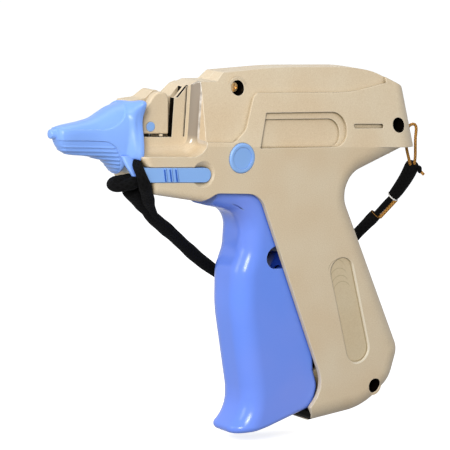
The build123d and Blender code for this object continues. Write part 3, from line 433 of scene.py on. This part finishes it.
def flush_shell(name, side):
    """A housing half whose bush wall ends at the leaning panel instead of standing out of it.
    Its corners keep their normals, which an attribute carries through the joining."""
    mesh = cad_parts[name].data.copy()
    kept = mesh.attributes.new("kept_normal", "FLOAT_VECTOR", "CORNER")
    for place, normal in zip(kept.data, mesh.corner_normals):
        place.vector = normal.vector
    work = joined(mesh)
    layer = work.loops.layers.float_vector["kept_normal"]
    moved = set()
    for vertex in work.verts:
        x, y, z = vertex.co
        panel = PANEL_HALF - (z - PANEL_FOOT) * math.tan(PANEL_LEAN)
        in_wall = BUSH_WALL_X[0] < x < BUSH_WALL_X[1] and 0 < z < BUSH_WALL_TOP
        if in_wall and abs(y) > panel:
            vertex.co.y = side * panel
            moved.add(vertex)
    work.normal_update()
    touched = [face for face in work.faces if not moved.isdisjoint(face.verts)]
    lean = Vector((0, side * math.cos(PANEL_LEAN), math.sin(PANEL_LEAN)))
    flat_edges = {}
    for face in touched:
        for corner in face.loops:
            corner[layer] = lean
        if face.calc_area() < FLAT_AREA:
            flat_edges.update(dict.fromkeys(face.edges))
    bmesh.ops.dissolve_degenerate(work, edges=list(flat_edges), dist=FLAT_WIDTH)
    work.to_mesh(mesh)
    work.free()
    kept = mesh.attributes["kept_normal"]
    mesh.normals_split_custom_set([tuple(place.vector) for place in kept.data])
    mesh.attributes.remove(mesh.attributes["kept_normal"])
    shell = put(name + "_moulding", mesh)
    mesh.materials.clear()
    mesh.materials.append(beige_abs)
    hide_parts(name)
    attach(shell, "housing")


flush_shell("housing_left", -1)
flush_shell("housing_right", 1)


# ---- trigger ----
# Glossy moulded ABS in a clear periwinkle blue: faint flow clouds where the melt met, a pale
# painted highlight on the corners, painted navy shade in the hollows, and a polished skin that
# catches the lamp in long streaks.

def polished_blue(name, deep, bright, line, roughness):
    material, tree, shader = plastic(name, roughness, 1.52)
    shader.inputs["Specular IOR Level"].default_value = 0.34
    where = own_place(tree)
    flow = noise(tree, where, 18.0, Detail=2.0, Distortion=0.6)
    colour = mixed(tree, spread(tree, flow, 0.32, 0.68), deep, bright)
    round_normal, corner = rounded_corners(tree, 0.0004)
    sky = open_sky(tree, 0.002)
    # The corners get a pale painted highlight in the line colour, and the hollows painted navy
    # shade.
    corner_highlight = product(tree, corner, spread(tree, sky, 0.80, 0.97, last=0.6))
    colour = mixed(tree, corner_highlight, colour, line)
    colour = mixed(tree, spread(tree, sky, 0.66, 0.30, last=0.6), colour, "#2C55D6")
    tree.links.new(colour, shader.inputs["Base Color"])
    skin = noise(tree, where, 420.0, Detail=2.0)
    emboss(tree, shader, skin, 0.05, 0.0001, Normal=round_normal)
    gloss = spread(tree, flow, first=roughness - 0.05, last=roughness + 0.08)
    tree.links.new(gloss, shader.inputs["Roughness"])
    return material


periwinkle = polished_blue("periwinkle_polished_abs", "#6892FA", "#7D98F8", "#9FBEFD", 0.20)
dress(periwinkle, "trigger")

# The hollow comes so near the skin at the trigger's shoulders that a hairline opens there. A web
# behind each shoulder narrows it, as the real moulding's wall does. Sizes in millimetres.
SHOULDER = Vector((47.9, -9.85, -27.4))
SHOULDER_OUT = Vector((-0.23, -0.75, -0.62)).normalized()
SHOULDER_LINE = Vector((0.95, 0.0, -0.31))
WEB_DEPTH, WEB_SIZE = 0.70, (4.4, 2.2, 0.9)
WEB_BEVEL = 0.00025  # in metres
along = (SHOULDER_LINE - SHOULDER_OUT * SHOULDER_LINE.dot(SHOULDER_OUT)).normalized()
web_axes = Matrix((along, SHOULDER_OUT.cross(along), SHOULDER_OUT)).transposed().to_4x4()
web_place = Matrix.Translation(SHOULDER - SHOULDER_OUT * WEB_DEPTH) @ web_axes
web_place @= Matrix.Diagonal((*WEB_SIZE, 1))
to_metres = Matrix.Diagonal((0.001, 0.001, 0.001, 1))
webs = bmesh.new()
for side in (1, -1):
    mirror = Matrix.Diagonal((1, side, 1, 1))
    bmesh.ops.create_cube(webs, size=1.0, matrix=to_metres @ mirror @ web_place)
bmesh.ops.recalc_face_normals(webs, faces=webs.faces)
bmesh.ops.bevel(webs, geom=list(webs.edges), offset=WEB_BEVEL, segments=2, profile=0.5,
                affect="EDGES")
web_mesh = bpy.data.meshes.new("trigger_shoulder_webs")
webs.to_mesh(web_mesh)
webs.free()
shoulder_webs = put("trigger_shoulder_webs", web_mesh)
web_mesh.shade_smooth()
web_mesh.materials.append(periwinkle)
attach(shoulder_webs, "trigger")


# ---- needle cap ----
# A 36 mm bird's-head cap in cornflower-blue polished ABS, 1.2 mm thick: a barrel with a raised
# rib that forks towards the open end, finger ribs below, and a flared rim that is higher on the
# near side. The sizes are in millimetres.

CAP_STATIONS = (  # X, half width, top, bottom
    (-32.0, 3.2, 2.7, -2.8), (-31.2, 3.9, 3.0, -4.6), (-30.0, 4.3, 3.3, -6.1),
    (-28.4, 4.6, 3.7, -7.2), (-22.0, 5.2, 5.0, -8.1), (-16.5, 6.1, 6.6, -8.8),
    (-12.5, 7.2, 8.9, -9.6), (-9.0, 8.2, 10.9, -11.2), (-6.4, 8.9, 11.9, -13.6),
    (-4.6, 9.3, 12.5, -15.0), (-3.4, 9.5, 12.6, -14.2), (-1.8, 9.7, 12.8, -10.6),
    (0.9, 9.9, 13.0, -9.4),
)
RIM = (  # Y and Z of the rim's outline, once round from its bottom middle
    (0, -9.4), (-6.0, -9.5), (-10.2, -9.4), (-12.2, -8.6), (-12.9, -6.5), (-12.7, -4.0),
    (-12.1, -1.0), (-10.9, 3.0), (-10.2, 5.8), (-10.4, 8.2), (-11.4, 10.6), (-12.2, 12.6),
    (-11.8, 13.9), (-9.4, 14.3), (-5.0, 13.7), (0, 13.0), (5.0, 11.6), (8.5, 9.0), (10.2, 6.0),
    (11.1, 3.0), (11.9, -1.0), (12.6, -5.5), (12.0, -8.2), (9.8, -9.3), (5.0, -9.5),
)
# X and Z of the forked rib's upper and lower edges.
FORK_TOP = (
    (-36, 2.1), (-14.5, 2.5), (-11.0, 3.4), (-8.2, 5.4), (-6.5, 7.6), (-4.9, 10.6), (-3.6, 14.5),
)
FORK_FOOT = (
    (-36, -2.1), (-13.5, -2.1), (-11.0, -3.0), (-9.2, -4.4), (-7.6, -7.0), (-6.0, -10.6),
    (-4.6, -15.5),
)
FORK_HEIGHT, RIB_HEIGHT, RIB_PITCH, RIB_FIRST = 0.62, 0.30, 1.6, -3.6
CAP_SIDES = 288
CAP_WALL = 1.2
CAP_FRONT = -32.0  # where the barrel ends and the round tip begins
ROUND_ABOVE, ROUND_BELOW = 2.5, 2.35  # powers of the barrel's section; 2 is an ellipse
SLEEVE_SIDES = 48
SLEEVE = (  # X and radius, once round its section
    (-18.0, 1.95), (-18.0, 4.1), (-0.6, 4.1), (-0.5, 4.0), (-0.5, 3.15), (-3.9, 3.15),
    (-3.95, 1.95),
)
PRONG = (  # centre line, and half sizes across and through
    ((-4.73, -8.6, -7.43), (2.7, 1.5)), ((-4.13, -9.4, -9.27), (2.6, 1.4)),
    ((-3.55, -10.3, -11.11), (2.4, 1.3)), ((-2.96, -11.2, -12.94), (2.0, 1.2)),
    ((-2.36, -11.9, -14.61), (1.6, 1.05)), ((-1.78, -12.3, -15.92), (1.2, 0.9)),
    ((-1.46, -12.4, -16.69), (0.8, 0.6)),
)
PRONG_SIDES = 24


def eased(table, at, column=1):
    """A value of a table at a place, read along a smooth curve through its rows."""
    if at <= table[0][0]:
        return table[0][column]
    for i, (row, onward) in enumerate(zip(table, table[1:])):
        if at <= onward[0]:
            x0, x1, y0, y1 = row[0], onward[0], row[column], onward[column]
            before, after = table[max(i - 1, 0)], table[min(i + 2, len(table) - 1)]
            slope_one = (y1 - before[column]) / (x1 - before[0]) * (x1 - x0)
            slope_two = (after[column] - y0) / (after[0] - x0) * (x1 - x0)
            t = (at - x0) / (x1 - x0)
            return ((2 * t**3 - 3 * t**2 + 1) * y0 + (t**3 - 2 * t**2 + t) * slope_one
                    + (3 * t**2 - 2 * t**3) * y1 + (t**3 - t**2) * slope_two)
    return table[-1][column]


def soft_step(value, low, high):
    """0 below low, 1 above high, and smooth between them."""
    share = min(max((value - low) / (high - low), 0), 1)
    return share * share * (3 - 2 * share)


rim_polar = sorted((math.atan2(z, y) % math.tau, math.hypot(y, z)) for y, z in RIM)
rim_polar = ([(angle - math.tau, radius) for angle, radius in rim_polar[-2:]] + rim_polar
             + [(angle + math.tau, radius) for angle, radius in rim_polar[:2]])
cap_turns = [math.tau * k / CAP_SIDES for k in range(CAP_SIDES)]
rim_radii = [eased(rim_polar, angle) for angle in cap_turns]


def cap_radius(x, k):
    """Outer radius of the cap's plain form at a station, towards one of its sides."""
    across, upward = math.cos(cap_turns[k]), math.sin(cap_turns[k])
    half, high, low = [eased(CAP_STATIONS, x, column) for column in (1, 2, 3)]
    reach, power = (high, ROUND_ABOVE) if upward > 0 else (-low, ROUND_BELOW)
    body = (abs(across / half) ** power + abs(upward / reach) ** power) ** (-1 / power)
    return body + (rim_radii[k] - body) * soft_step(x, -5.4, -0.4)


def cap_relief(x, z):
    """Height of the forked rib and of the finger ribs above the plain form."""
    within = min(eased(FORK_TOP, x) - z, z - eased(FORK_FOOT, x))
    fork = soft_step(within, -0.15, 0.30) * (1 - soft_step(x, -3.4, -1.2))
    under = eased(FORK_FOOT, x) - z
    wave = 0.5 - 0.5 * math.cos(math.tau * (z - RIB_FIRST) / RIB_PITCH)
    ribs = soft_step(wave, 0.45, 0.85) * soft_step(under, 0.25, 0.7) * soft_step(-z, 3.2, 3.6)
    ribs = RIB_HEIGHT * ribs * (1 - soft_step(x, -5.0, -3.6)) * soft_step(x, -31.2, -29.6)
    return FORK_HEIGHT * fork + ribs


def circle(x, radius, sides=CAP_SIDES):
    """Points round the needle's axis."""
    turns = [math.tau * k / sides for k in range(sides)]
    return [(x, math.cos(t) * radius, math.sin(t) * radius) for t in turns]


def cap_rings():
    """Rings of the closed skin: the bore's front end, the hollow, the rim, the outside, the tip."""
    rings = [circle(-33.6, 1.1), circle(-30.2, 1.15), circle(-30.0, 1.9), circle(-28.6, 1.95)]
    for x in range(-28, 1):
        room = [max(cap_radius(x, k) - CAP_WALL, 2.1) for k in range(CAP_SIDES)]
        rings.append([(x, math.cos(t) * r, math.sin(t) * r) for t, r in zip(cap_turns, room)])
    # The rim stands 0.8 mm over the near side of the nose and stops short of the far side.
    ends = [0.8 - 0.95 * soft_step(math.cos(t) * r, -3.0, 1.0)
            for t, r in zip(cap_turns, rim_radii)]
    edge = ((CAP_WALL, 0.0), (CAP_WALL * 0.75, 0.0), (0.35, 0.0), (0.08, -0.15), (0.0, -0.45))
    for inset, back in edge:
        rings.append([(end + back, math.cos(t) * (r - inset), math.sin(t) * (r - inset))
                      for end, t, r in zip(ends, cap_turns, rim_radii)])
    x = -0.75
    while x > CAP_FRONT:
        ring = []
        for k, t in enumerate(cap_turns):
            radius = cap_radius(x, k)
            radius += cap_relief(x, math.sin(t) * radius)
            ring.append((x, math.cos(t) * radius, math.sin(t) * radius))
        rings.append(ring)
        x -= 0.22
    for x, share in ((-32.15, 0.94), (-32.3, 0.84), (-32.35, 0.72)):
        front = [cap_radius(CAP_FRONT, k) * share for k in range(CAP_SIDES)]
        rings.append([(x, math.cos(t) * r, math.sin(t) * r) for t, r in zip(cap_turns, front)])
    tip = ((-32.4, 2.0), (-32.6, 1.9), (-34.3, 1.85), (-34.65, 1.65), (-34.8, 1.3))
    return rings + [circle(x, radius) for x, radius in tip]


def skin_of_rings(name, rings, poles):
    """A closed mesh over rings of equal count; poles are its first and last points."""
    count = len(rings[0])
    points = [point for ring in rings for point in ring] + list(poles)
    faces = []
    for i in range(len(rings) - 1):
        for k in range(count):
            side = (k + 1) % count
            faces.append((i * count + k, (i + 1) * count + k,
                          (i + 1) * count + side, i * count + side))
    first, last, tail = len(points) - 2, len(points) - 1, (len(rings) - 1) * count
    for k in range(count):
        side = (k + 1) % count
        faces += [(first, k, side), (last, tail + side, tail + k)]
    mesh = bpy.data.meshes.new(name)
    mesh.from_pydata([Vector(point) / 1000 for point in points], [], faces)
    return mesh


def hook_prong():
    """A tapered tongue on the near side that hooks into the strap's loop."""
    rings = []
    for (x, y, z), (wide, deep) in PRONG:
        ring = []
        for k in range(PRONG_SIDES):
            t = math.tau * k / PRONG_SIDES
            c, d = math.cos(t), math.sin(t)
            ring.append((x + wide * math.copysign(abs(c) ** 0.7, c),
                         y + deep * math.copysign(abs(d) ** 0.7, d), z))
        rings.append(ring)
    (root_x, root_y, root_z), (foot_x, foot_y, foot_z) = PRONG[0][0], PRONG[-1][0]
    poles = ((root_x, root_y, root_z + 0.2), (foot_x, foot_y, foot_z - 0.15))
    return skin_of_rings("hook_prong", rings, poles)


def inner_sleeve():
    """A ring that grips the needle's base."""
    points = [point for x, r in SLEEVE for point in circle(x, r, SLEEVE_SIDES)]
    faces = []
    for i in range(len(SLEEVE)):
        here, onward = i * SLEEVE_SIDES, (i + 1) % len(SLEEVE) * SLEEVE_SIDES
        for k in range(SLEEVE_SIDES):
            side = (k + 1) % SLEEVE_SIDES
            faces.append((here + k, onward + k, onward + side, here + side))
    mesh = bpy.data.meshes.new("cap_sleeve")
    mesh.from_pydata([Vector(point) / 1000 for point in points], [], faces)
    return mesh


cap_work = bmesh.new()
cap_skin = skin_of_rings("cap_skin", cap_rings(), ((-33.6, 0, 0), (-34.85, 0, 0)))
for part in (cap_skin, inner_sleeve(), hook_prong()):
    cap_work.from_mesh(part)
bmesh.ops.recalc_face_normals(cap_work, faces=cap_work.faces)
cap_mesh = bpy.data.meshes.new("needle_cap_moulding")
cap_work.to_mesh(cap_mesh)
cap_work.free()
cap = put("needle_cap_moulding", cap_mesh)
bpy.ops.object.select_all(action="DESELECT")
cap.select_set(True)
bpy.context.view_layer.objects.active = cap
bpy.ops.object.shade_smooth_by_angle(angle=math.radians(40))
cap.data.materials.append(
    polished_blue("cornflower_polished_abs", "#7AA5F5", "#88B1F9", "#C6DAFE", 0.30))
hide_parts("needle_cap")
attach(cap, "needle_cap")


# ---- button, lock lever and guide pin ----
# A lighter sky-blue acetal, moulded with a slightly duller skin than the trigger. The lever's
# three grip ribs, X 8.5 to 16.5 mm, get painted dark blue shade on their flanks.

GRIP_RIBS = ((0.0085, 0.0165), (None, -0.0151), (None, None))


def lay_over(material, share, code):
    """Lays a colour over a material's own, by a share."""
    tree = material.node_tree
    base = tree.nodes["Principled BSDF"].inputs["Base Color"]
    tree.links.new(mixed(tree, share, base.links[0].from_socket, code), base)


sky_acetal = polished_blue("sky_blue_acetal", "#82AEEC", "#90BAF4", "#BAD6FA", 0.32)
dress(sky_acetal, "release_button", "guide_pin")

lever_acetal = polished_blue("ribbed_blue_acetal", "#7FADEE", "#8EBAF6", "#C6E0FC", 0.30)
lever_tree = lever_acetal.node_tree
steep = above(lever_tree, maths(lever_tree, "ABSOLUTE", facing_x(lever_tree)), 0.3)
on_ribs = inside(lever_tree, axes_of(lever_tree, own_place(lever_tree)), GRIP_RIBS)
# The ribs' steep flanks get painted dark blue shade.
lay_over(lever_acetal, product(lever_tree, steep, on_ribs), "#2B5CB8")
dress(lever_acetal, "lock_lever")


# ---- strap, sleeve and cord ----
# A black braided elastic strap hangs from the cap's hook to the rear corner. Its front end is
# looped round the hook. Its rear end is folded, whipped and caught in a sewn sleeve, out of which
# a thin brown cord goes up through the housing's corner and back.

def run_of(name, points):
    """The centre line of a cord: a NURBS spline through its route, read back as points."""
    line = bpy.data.curves.new(name, "CURVE")
    line.dimensions = "3D"
    spline = line.splines.new("NURBS")
    spline.points.add(len(points) - 1)
    for place, point in zip(spline.points, points):
        place.co = (*[value / 1000 for value in point], 1)
    spline.order_u = 3
    spline.use_endpoint_u = True
    spline.resolution_u = 12
    holder = put(name, line)
    bpy.context.view_layer.update()
    mesh = bpy.data.meshes.new_from_object(holder)
    order = [vertex.co.copy() for vertex in mesh.vertices]
    bpy.data.objects.remove(holder)
    bpy.data.meshes.remove(mesh)
    kept = [order[0]]
    for point in order[1:]:
        if (point - kept[-1]).length > 0.00002:
            kept.append(point)
    return kept


def even_steps(points, step):
    """The same line with its points a step apart."""
    out = [points[0].copy()]
    left = step
    for here, after in zip(points, points[1:]):
        span = (after - here).length
        done = 0.0
        while span - done >= left:
            done += left
            out.append(here.lerp(after, done / span))
            left = step
        left -= span - done
    if (out[-1] - points[-1]).length > step * 0.4:
        out.append(points[-1].copy())
    else:
        out[-1] = points[-1].copy()
    return out


def skin_of(name, points, radius_at, sides=20, closed=False):
    """A round skin along the points; UV runs round it in turns and along it in millimetres."""
    count = len(points)
    spans = count if closed else count - 1
    if closed:
        heading = [points[(i + 1) % count] - points[i - 1] for i in range(count)]
    else:
        heading = [points[min(i + 1, count - 1)] - points[max(i - 1, 0)] for i in range(count)]
    heading = [direction.normalized() for direction in heading]
    across = heading[0].orthogonal().normalized()
    verts, lengths, far = [], [], 0.0
    for i, point in enumerate(points):
        across = (across - heading[i] * across.dot(heading[i])).normalized()
        beside = heading[i].cross(across)
        for k in range(sides):
            angle = math.tau * k / sides
            radius = radius_at(i / spans, angle)
            verts.append(point + (across * math.cos(angle) + beside * math.sin(angle)) * radius)
        lengths.append(far * 1000)
        far += (points[(i + 1) % count] - point).length
    lengths.append(far * 1000)
    faces, marks = [], []
    for i in range(spans):
        here, onward = i * sides, (i + 1) % count * sides
        v0, v1 = lengths[i], lengths[i + 1]
        for k in range(sides):
            side = (k + 1) % sides
            faces.append((here + k, here + side, onward + side, onward + k))
            u0, u1 = k / sides, (k + 1) / sides
            marks += [(u0, v0), (u1, v0), (u1, v1), (u0, v1)]
    if not closed:
        for ring, step in ((0, -1), (count - 1, 1)):
            centre = len(verts)
            verts.append(points[ring] + heading[ring] * radius_at(ring / spans, 0) * 0.25 * step)
            for k in range(sides):
                pair = (ring * sides + k, ring * sides + (k + 1) % sides)
                faces.append((pair[1], pair[0], centre) if step < 0 else (*pair, centre))
                marks += [(0.5, lengths[ring])] * 3
    mesh = bpy.data.meshes.new(name)
    mesh.from_pydata(verts, [], faces)
    layer = mesh.uv_layers.new(name="around_along")
    for slot, mark in zip(layer.data, marks):
        slot.uv = mark
    mesh.shade_smooth()
    return put(name, mesh)


RING_SIDES = 36


def ring_round(points, place, radius):
    """A circle of points round the line at one of its points."""
    along = (points[place + 1] - points[place]).normalized()
    across = along.orthogonal().normalized()
    beside = along.cross(across)
    turns = [math.tau * k / RING_SIDES for k in range(RING_SIDES)]
    return [points[place] + (across * math.cos(t) + beside * math.sin(t)) * radius for t in turns]


def braid(name, dark, light, per_turn, pitch, depth, roughness):
    """Crossing yarns in a diamond braid: per_turn yarns round, pitch in millimetres along."""
    material, tree, shader = plastic(name, roughness)
    around, along, _ = axes_of(tree, add_node(tree, "ShaderNodeTexCoord").outputs["UV"])
    around = maths(tree, "MULTIPLY", around, math.tau * per_turn)
    along = maths(tree, "MULTIPLY", along, math.tau / pitch)
    yarns = [maths(tree, "SINE", maths(tree, way, around, along)) for way in ("ADD", "SUBTRACT")]
    height = spread(tree, maths(tree, "MAXIMUM", *yarns), -0.8, 1.0)
    # The grooves between the yarns get painted shade, and their crowns the lighter colour.
    tree.links.new(mixed(tree, height, dark, light), shader.inputs["Base Color"])
    emboss(tree, shader, height, 0.8, depth)
    shader.inputs["Specular IOR Level"].default_value = 0.12
    return material


# Dead-black polyester over rubber takes nearly all the light; only the yarns' crowns show.
black_braid = braid("black_braided_polyester", "#020202", "#0C0C0D", 7, 2.4, 0.0002, 0.95)
white_thread = braid("white_sewing_thread", "#D8D8D2", "#FFFFFF", 2, 0.5, 0.00004, 0.7)
brown_twist = braid("brown_waxed_twist", "#5A3A12", "#C9934A", 3, 1.3, 0.00008, 0.55)
STRAP_RADIUS = 0.0027
STRAP_ROUTE = (  # this and the routes below are in millimetres
    (-0.86, -6.87, -20.65), (5.6, -4.0, -26.4), (12.5, -0.6, -31.6), (21.5, 4.4, -36.4),
    (30.6, 9.4, -41.2), (40.0, 14.4, -46.8), (50.5, 18.0, -53.4), (61.5, 19.2, -59.6),
    (74.0, 19.4, -64.2), (88.0, 19.2, -66.4), (101.0, 19.0, -64.0), (112.5, 18.8, -57.6),
    (121.5, 18.4, -49.6), (129.0, 16.6, -41.4), (134.4, 12.8, -33.6), (137.6, 8.0, -26.4),
)


def slack(share, angle):
    """The braid swells and narrows; it is full at the hook, pinched behind it, thin at the fold."""
    swell = 0.035 * math.sin(share * 41) + 0.02 * math.sin(share * 97 + 1)
    hook = 0.30 * (1 - soft_step(share, 0.0, 0.055))
    pinch = 0.20 * math.exp(-((share - 0.085) / 0.018) ** 2)
    fold = 0.46 * soft_step(share, 0.925, 0.940)
    flat = 0.05 * math.cos(2 * angle + share * 6)
    return STRAP_RADIUS * (0.95 + swell + hook - pinch - fold) * (1 - flat)


strap_points = even_steps(run_of("strap_line", STRAP_ROUTE), 0.0012)
strap = skin_of("strap_braid", strap_points, slack)
strap.data.materials.append(black_braid)
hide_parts("strap")
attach(strap, "housing")

# The sewn sleeve widens upwards; a rim of white thread closes its lower end.
SLEEVE_ROUTE = (
    (137.66, 7.91, -26.26), (138.72, 6.32, -23.88), (139.2, 1.0, -17.0), (137.8, -3.8, -11.6),
)
sleeve_points = even_steps(run_of("sleeve_line", SLEEVE_ROUTE), 0.0008)


def stitched(share, angle):
    """The sleeve widens, and is drawn in at both sewn ends."""
    waves = 0.012 * math.sin(angle * 3 + share * 9)
    return (0.00255 + 0.0006 * share) * (1 - 0.10 * (2 * share - 1) ** 6 + waves)


sleeve = skin_of("strap_end_sleeve", sleeve_points, stitched)
sleeve.data.materials.append(black_braid)
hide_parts("strap_sleeve")
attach(sleeve, "housing")


def even(radius):
    """The radius of a skin that is equally thick all along."""
    return lambda share, angle: radius


rim_line = ring_round(sleeve_points, 0, 0.00238)
rim = skin_of("sleeve_rim_thread", rim_line, even(0.00030), sides=8, closed=True)
rim.data.materials.append(white_thread)
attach(rim, "housing")

# Golden brown waxed twist, 1.3 mm thick: three plies with a turn every 2.6 mm.
CORD_RADIUS = 0.00062
CORD_ROUTE = (
    (138.53, -4.13, -11.24), (137.7, -5.6, -8.4), (136.5, -6.5, -3.2), (136.2, -6.5, 0.4),
    (136.4, -6.5, 3.4), (136.0, -6.5, 5.2), (134.6, -6.5, 5.9), (132.6, -6.5, 5.2),
    (131.7, -6.5, 3.6), (131.5, -6.5, 0.6), (131.6, -6.5, -3.2), (133.9, -5.7, -7.9),
    (136.62, -3.93, -11.44),
)
cord_points = even_steps(run_of("cord_line", CORD_ROUTE), 0.0004)


def plies(turns):
    """The outline of three plies that wind round each other."""
    return lambda share, angle: CORD_RADIUS * (1 + 0.10 * math.cos(3 * (angle - share * turns)))


cord_loop = skin_of("brown_cord_loop", cord_points, plies(95), sides=18)
cord_loop.data.materials.append(brown_twist)
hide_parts("cord_loop")
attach(cord_loop, "housing")


def thick_plies(share, angle):
    return 1.25 * plies(26)(share, angle)


# The cord's tail lies along the folded strap's right side, under the sleeve.
beside_strap = (sight_right * 0.79 - sight_up * 0.61) * 0.0021
tail_points = even_steps([point + beside_strap for point in strap_points[-10:]], 0.0004)
cord_tail = skin_of("brown_cord_tail", tail_points, thick_plies, sides=18)
cord_tail.data.materials.append(brown_twist)
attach(cord_tail, "housing")


def whipped(share, angle):
    return 0.00262 * (1 - 0.06 * (2 * share - 1) ** 4)


def knotted(share, angle):
    return 0.0010 * math.sqrt(max(1 - (2 * share - 1) ** 4, 0.15))


# A whipping of black thread closes the strap's fold, and one brown turn lies at its upper end.
whipping = skin_of("strap_whipping", strap_points[-14:-9], whipped)
whipping.data.materials.append(black_braid)
turn_line = ring_round(strap_points, -10, 0.0025)
brown_turn = skin_of("whipping_turn", turn_line, even(0.00010), sides=8, closed=True)
brown_turn.data.materials.append(brown_twist)

# The cord's knot sits at the sleeve's upper right edge: a black turn with the brown end through it.
knot_at = Vector((0.1396, -0.0065, -0.0131))
knot_along = (sight_up * 0.8 - sight_right * 0.45).normalized()
knot_line = [knot_at + knot_along * (0.0004 * k) + sight_right * 0.0003 * math.sin(k * 0.9)
             for k in range(-4, 5)]
knot = skin_of("cord_knot", knot_line, knotted, sides=16)
knot.data.materials.append(black_braid)
end_at = knot_at - knot_along * 0.0012
end_line = [end_at + sight_right * (0.0003 * k) - sight_up * (0.0003 * k) for k in range(5)]
knot_end = skin_of("cord_knot_end", end_line, plies(9), sides=14)
knot_end.data.materials.append(brown_twist)
trims = ((whipping, "strap"), (brown_turn, "cord"), (knot, "strap"), (knot_end, "cord"))
for piece, finish in trims:
    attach(piece, "housing")

# The front loop goes round the hook; its folded end stands out on the left as a short stub.
LOOP_MIDDLE = Vector((-0.00545, -0.0090, -0.0178))
LOOP_RADIUS, LOOP_SIDES = 0.0044, 60
STUB_ROUTE = (
    (-11.2, -11.4, -16.5), (-9.4, -11.0, -16.9), (-7.4, -10.6, -17.4), (-5.6, -10.4, -18.4),
)
# Between the loop and the strap's start the braid is folded up behind the hook, over the flank.
FOLD_ROUTE = (
    (-1.21, -9.8, -9.62), (-1.94, -13.0, -11.16), (-2.73, -16.6, -13.43), (-2.06, -17.6, -16.02),
    (1.15, -14.6, -19.34), (5.47, -9.5, -23.36), (9.2, -5.6, -27.06), (12.79, -2.8, -30.44),
    (16.51, -0.6, -33.56),
)


def loop_radius(share, angle):
    return 0.0024 * (1 + 0.05 * math.sin(share * math.tau * 4) + 0.03 * math.sin(angle * 2))


def stub_radius(share, angle):
    return 0.0021 * math.sqrt(min(share * 5 + 0.12, 1)) * (1 + 0.12 * share)


def fold_radius(share, angle):
    """The fold swells from its start, then thins out to end inside the strap."""
    fullness = 0.72 + 0.28 * soft_step(share, 0.0, 0.4) - 0.55 * soft_step(share, 0.6, 1.0)
    return 0.0025 * fullness * (1 + 0.05 * math.sin(share * 23))


tilt = Matrix.Rotation(math.radians(-14), 3, "Y")
loop_turns = [math.tau * i / LOOP_SIDES for i in range(LOOP_SIDES)]
loop_points = [LOOP_MIDDLE + tilt @ Vector((math.cos(t), math.sin(t), 0)) * LOOP_RADIUS
               for t in loop_turns]
front_loop = skin_of("strap_front_loop", loop_points, loop_radius, closed=True)
front_loop.data.materials.append(black_braid)
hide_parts("strap_loop")
stub_points = even_steps(run_of("stub_line", STUB_ROUTE), 0.0003)
stub = skin_of("strap_loop_stub", stub_points, stub_radius)
stub.data.materials.append(black_braid)
fold_points = even_steps(run_of("fold_line", FOLD_ROUTE), 0.0004)
fold = skin_of("strap_front_fold", fold_points, fold_radius)
fold.data.materials.append(black_braid)
for piece, body in ((front_loop, "needle_cap"), (stub, "needle_cap"), (fold, "housing")):
    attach(piece, body)


# ---- screws ----
# Three cross-head screws with heads 5.2 mm across. The recess is bright with brass-coloured
# passivation, and the head's rim is painted near black.

HEAD_RIM_RADIUS = 0.00185


def metal(name, colour, roughness, grain):
    """Metal with faint paler and duller marks."""
    material, tree, shader = plastic(name, roughness, 1.5)
    shader.inputs["Metallic"].default_value = 1.0
    mark = noise(tree, own_place(tree), grain, Detail=3.0)
    dull = spread(tree, mark, first=roughness - 0.06, last=roughness + 0.12)
    tree.links.new(dull, shader.inputs["Roughness"])
    finish = mixed(tree, spread(tree, mark, 0.2, 0.8, last=0.2), colour, "#FFFFFF")
    tree.links.new(finish, shader.inputs["Base Color"])
    return material


screw_finish = metal("passivated_screw_steel", "#C9A160", 0.26, 900.0)
screw_tree = screw_finish.node_tree
screw_x, _, screw_z = axes_of(screw_tree, own_place(screw_tree))
on_rim = above(screw_tree, screw_distance(screw_tree, screw_x, screw_z), HEAD_RIM_RADIUS)
# The head's rim, beyond HEAD_RIM_RADIUS, is painted near black.
lay_over(screw_finish, on_rim, "#0A0806")
dress(screw_finish, "housing_screws")


# ---- pins, needle, springs and bush ----
# Ground steel pins, a polished steel needle and blade, drawn spring wire and a turned brass bush.
# The two springs that work with a joint are copies, each with a mesh of its own.

dress(metal("ground_steel_pin", "#B9BCC0", 0.28, 1200.0), "trigger_pivot_pin", "drive_lever_pin",
      "link_pin", "piston_pin", "feed_wheel_shaft", "feed_pawl_pin", "lock_lever_pin", "push_rod",
      "needle_tube", "button_ring", "cutter_blade")
spring_wire = metal("drawn_spring_wire", "#8F9296", 0.35, 700.0)
dress(spring_wire, "detent_spring")


def coil_that_shortens(name):
    """A spring copied with a mesh of its own, in spring wire, on the housing."""
    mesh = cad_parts[name].data.copy()
    work = joined(mesh)
    work.to_mesh(mesh)
    work.free()
    mesh.shade_smooth()
    mesh.materials.clear()
    mesh.materials.append(spring_wire)
    wire = put(name + "_wire", mesh)
    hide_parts(name)
    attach(wire, "housing")
    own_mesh(wire)


# The return spring is 58.7 mm long and gives 48.5 mm; the button's is 2.8 mm and gives 1.8 mm.
coil_that_shortens("return_spring")
coil_that_shortens("button_spring")
dress(metal("turned_brass", "#C79A4B", 0.27, 500.0), "rod_bush")


# ---- inner plastic and rubber ----
# Acetal runs dry against steel: the drive lever is moulded in deep blue, the piston, wheel, pawl
# and needle base in milky white. The buffer is black nitrile rubber.

def plain_moulded(name, dark, light, roughness, grain):
    material, tree, shader = plastic(name, roughness)
    cloud = noise(tree, own_place(tree), grain, Detail=2.0)
    tree.links.new(mixed(tree, cloud, dark, light), shader.inputs["Base Color"])
    emboss(tree, shader, cloud, 0.08, 0.0001)
    return material


dress(plain_moulded("deep_blue_acetal", "#1B3AA0", "#2448BE", 0.34, 160.0), "drive_lever")
dress(plain_moulded("milky_acetal", "#DAD9D0", "#F1F0EA", 0.45, 160.0),
      "piston", "feed_wheel", "feed_pawl", "needle_base")
dress(plain_moulded("black_nitrile_rubber", "#141414", "#242424", 0.8, 600.0), "rear_buffer")
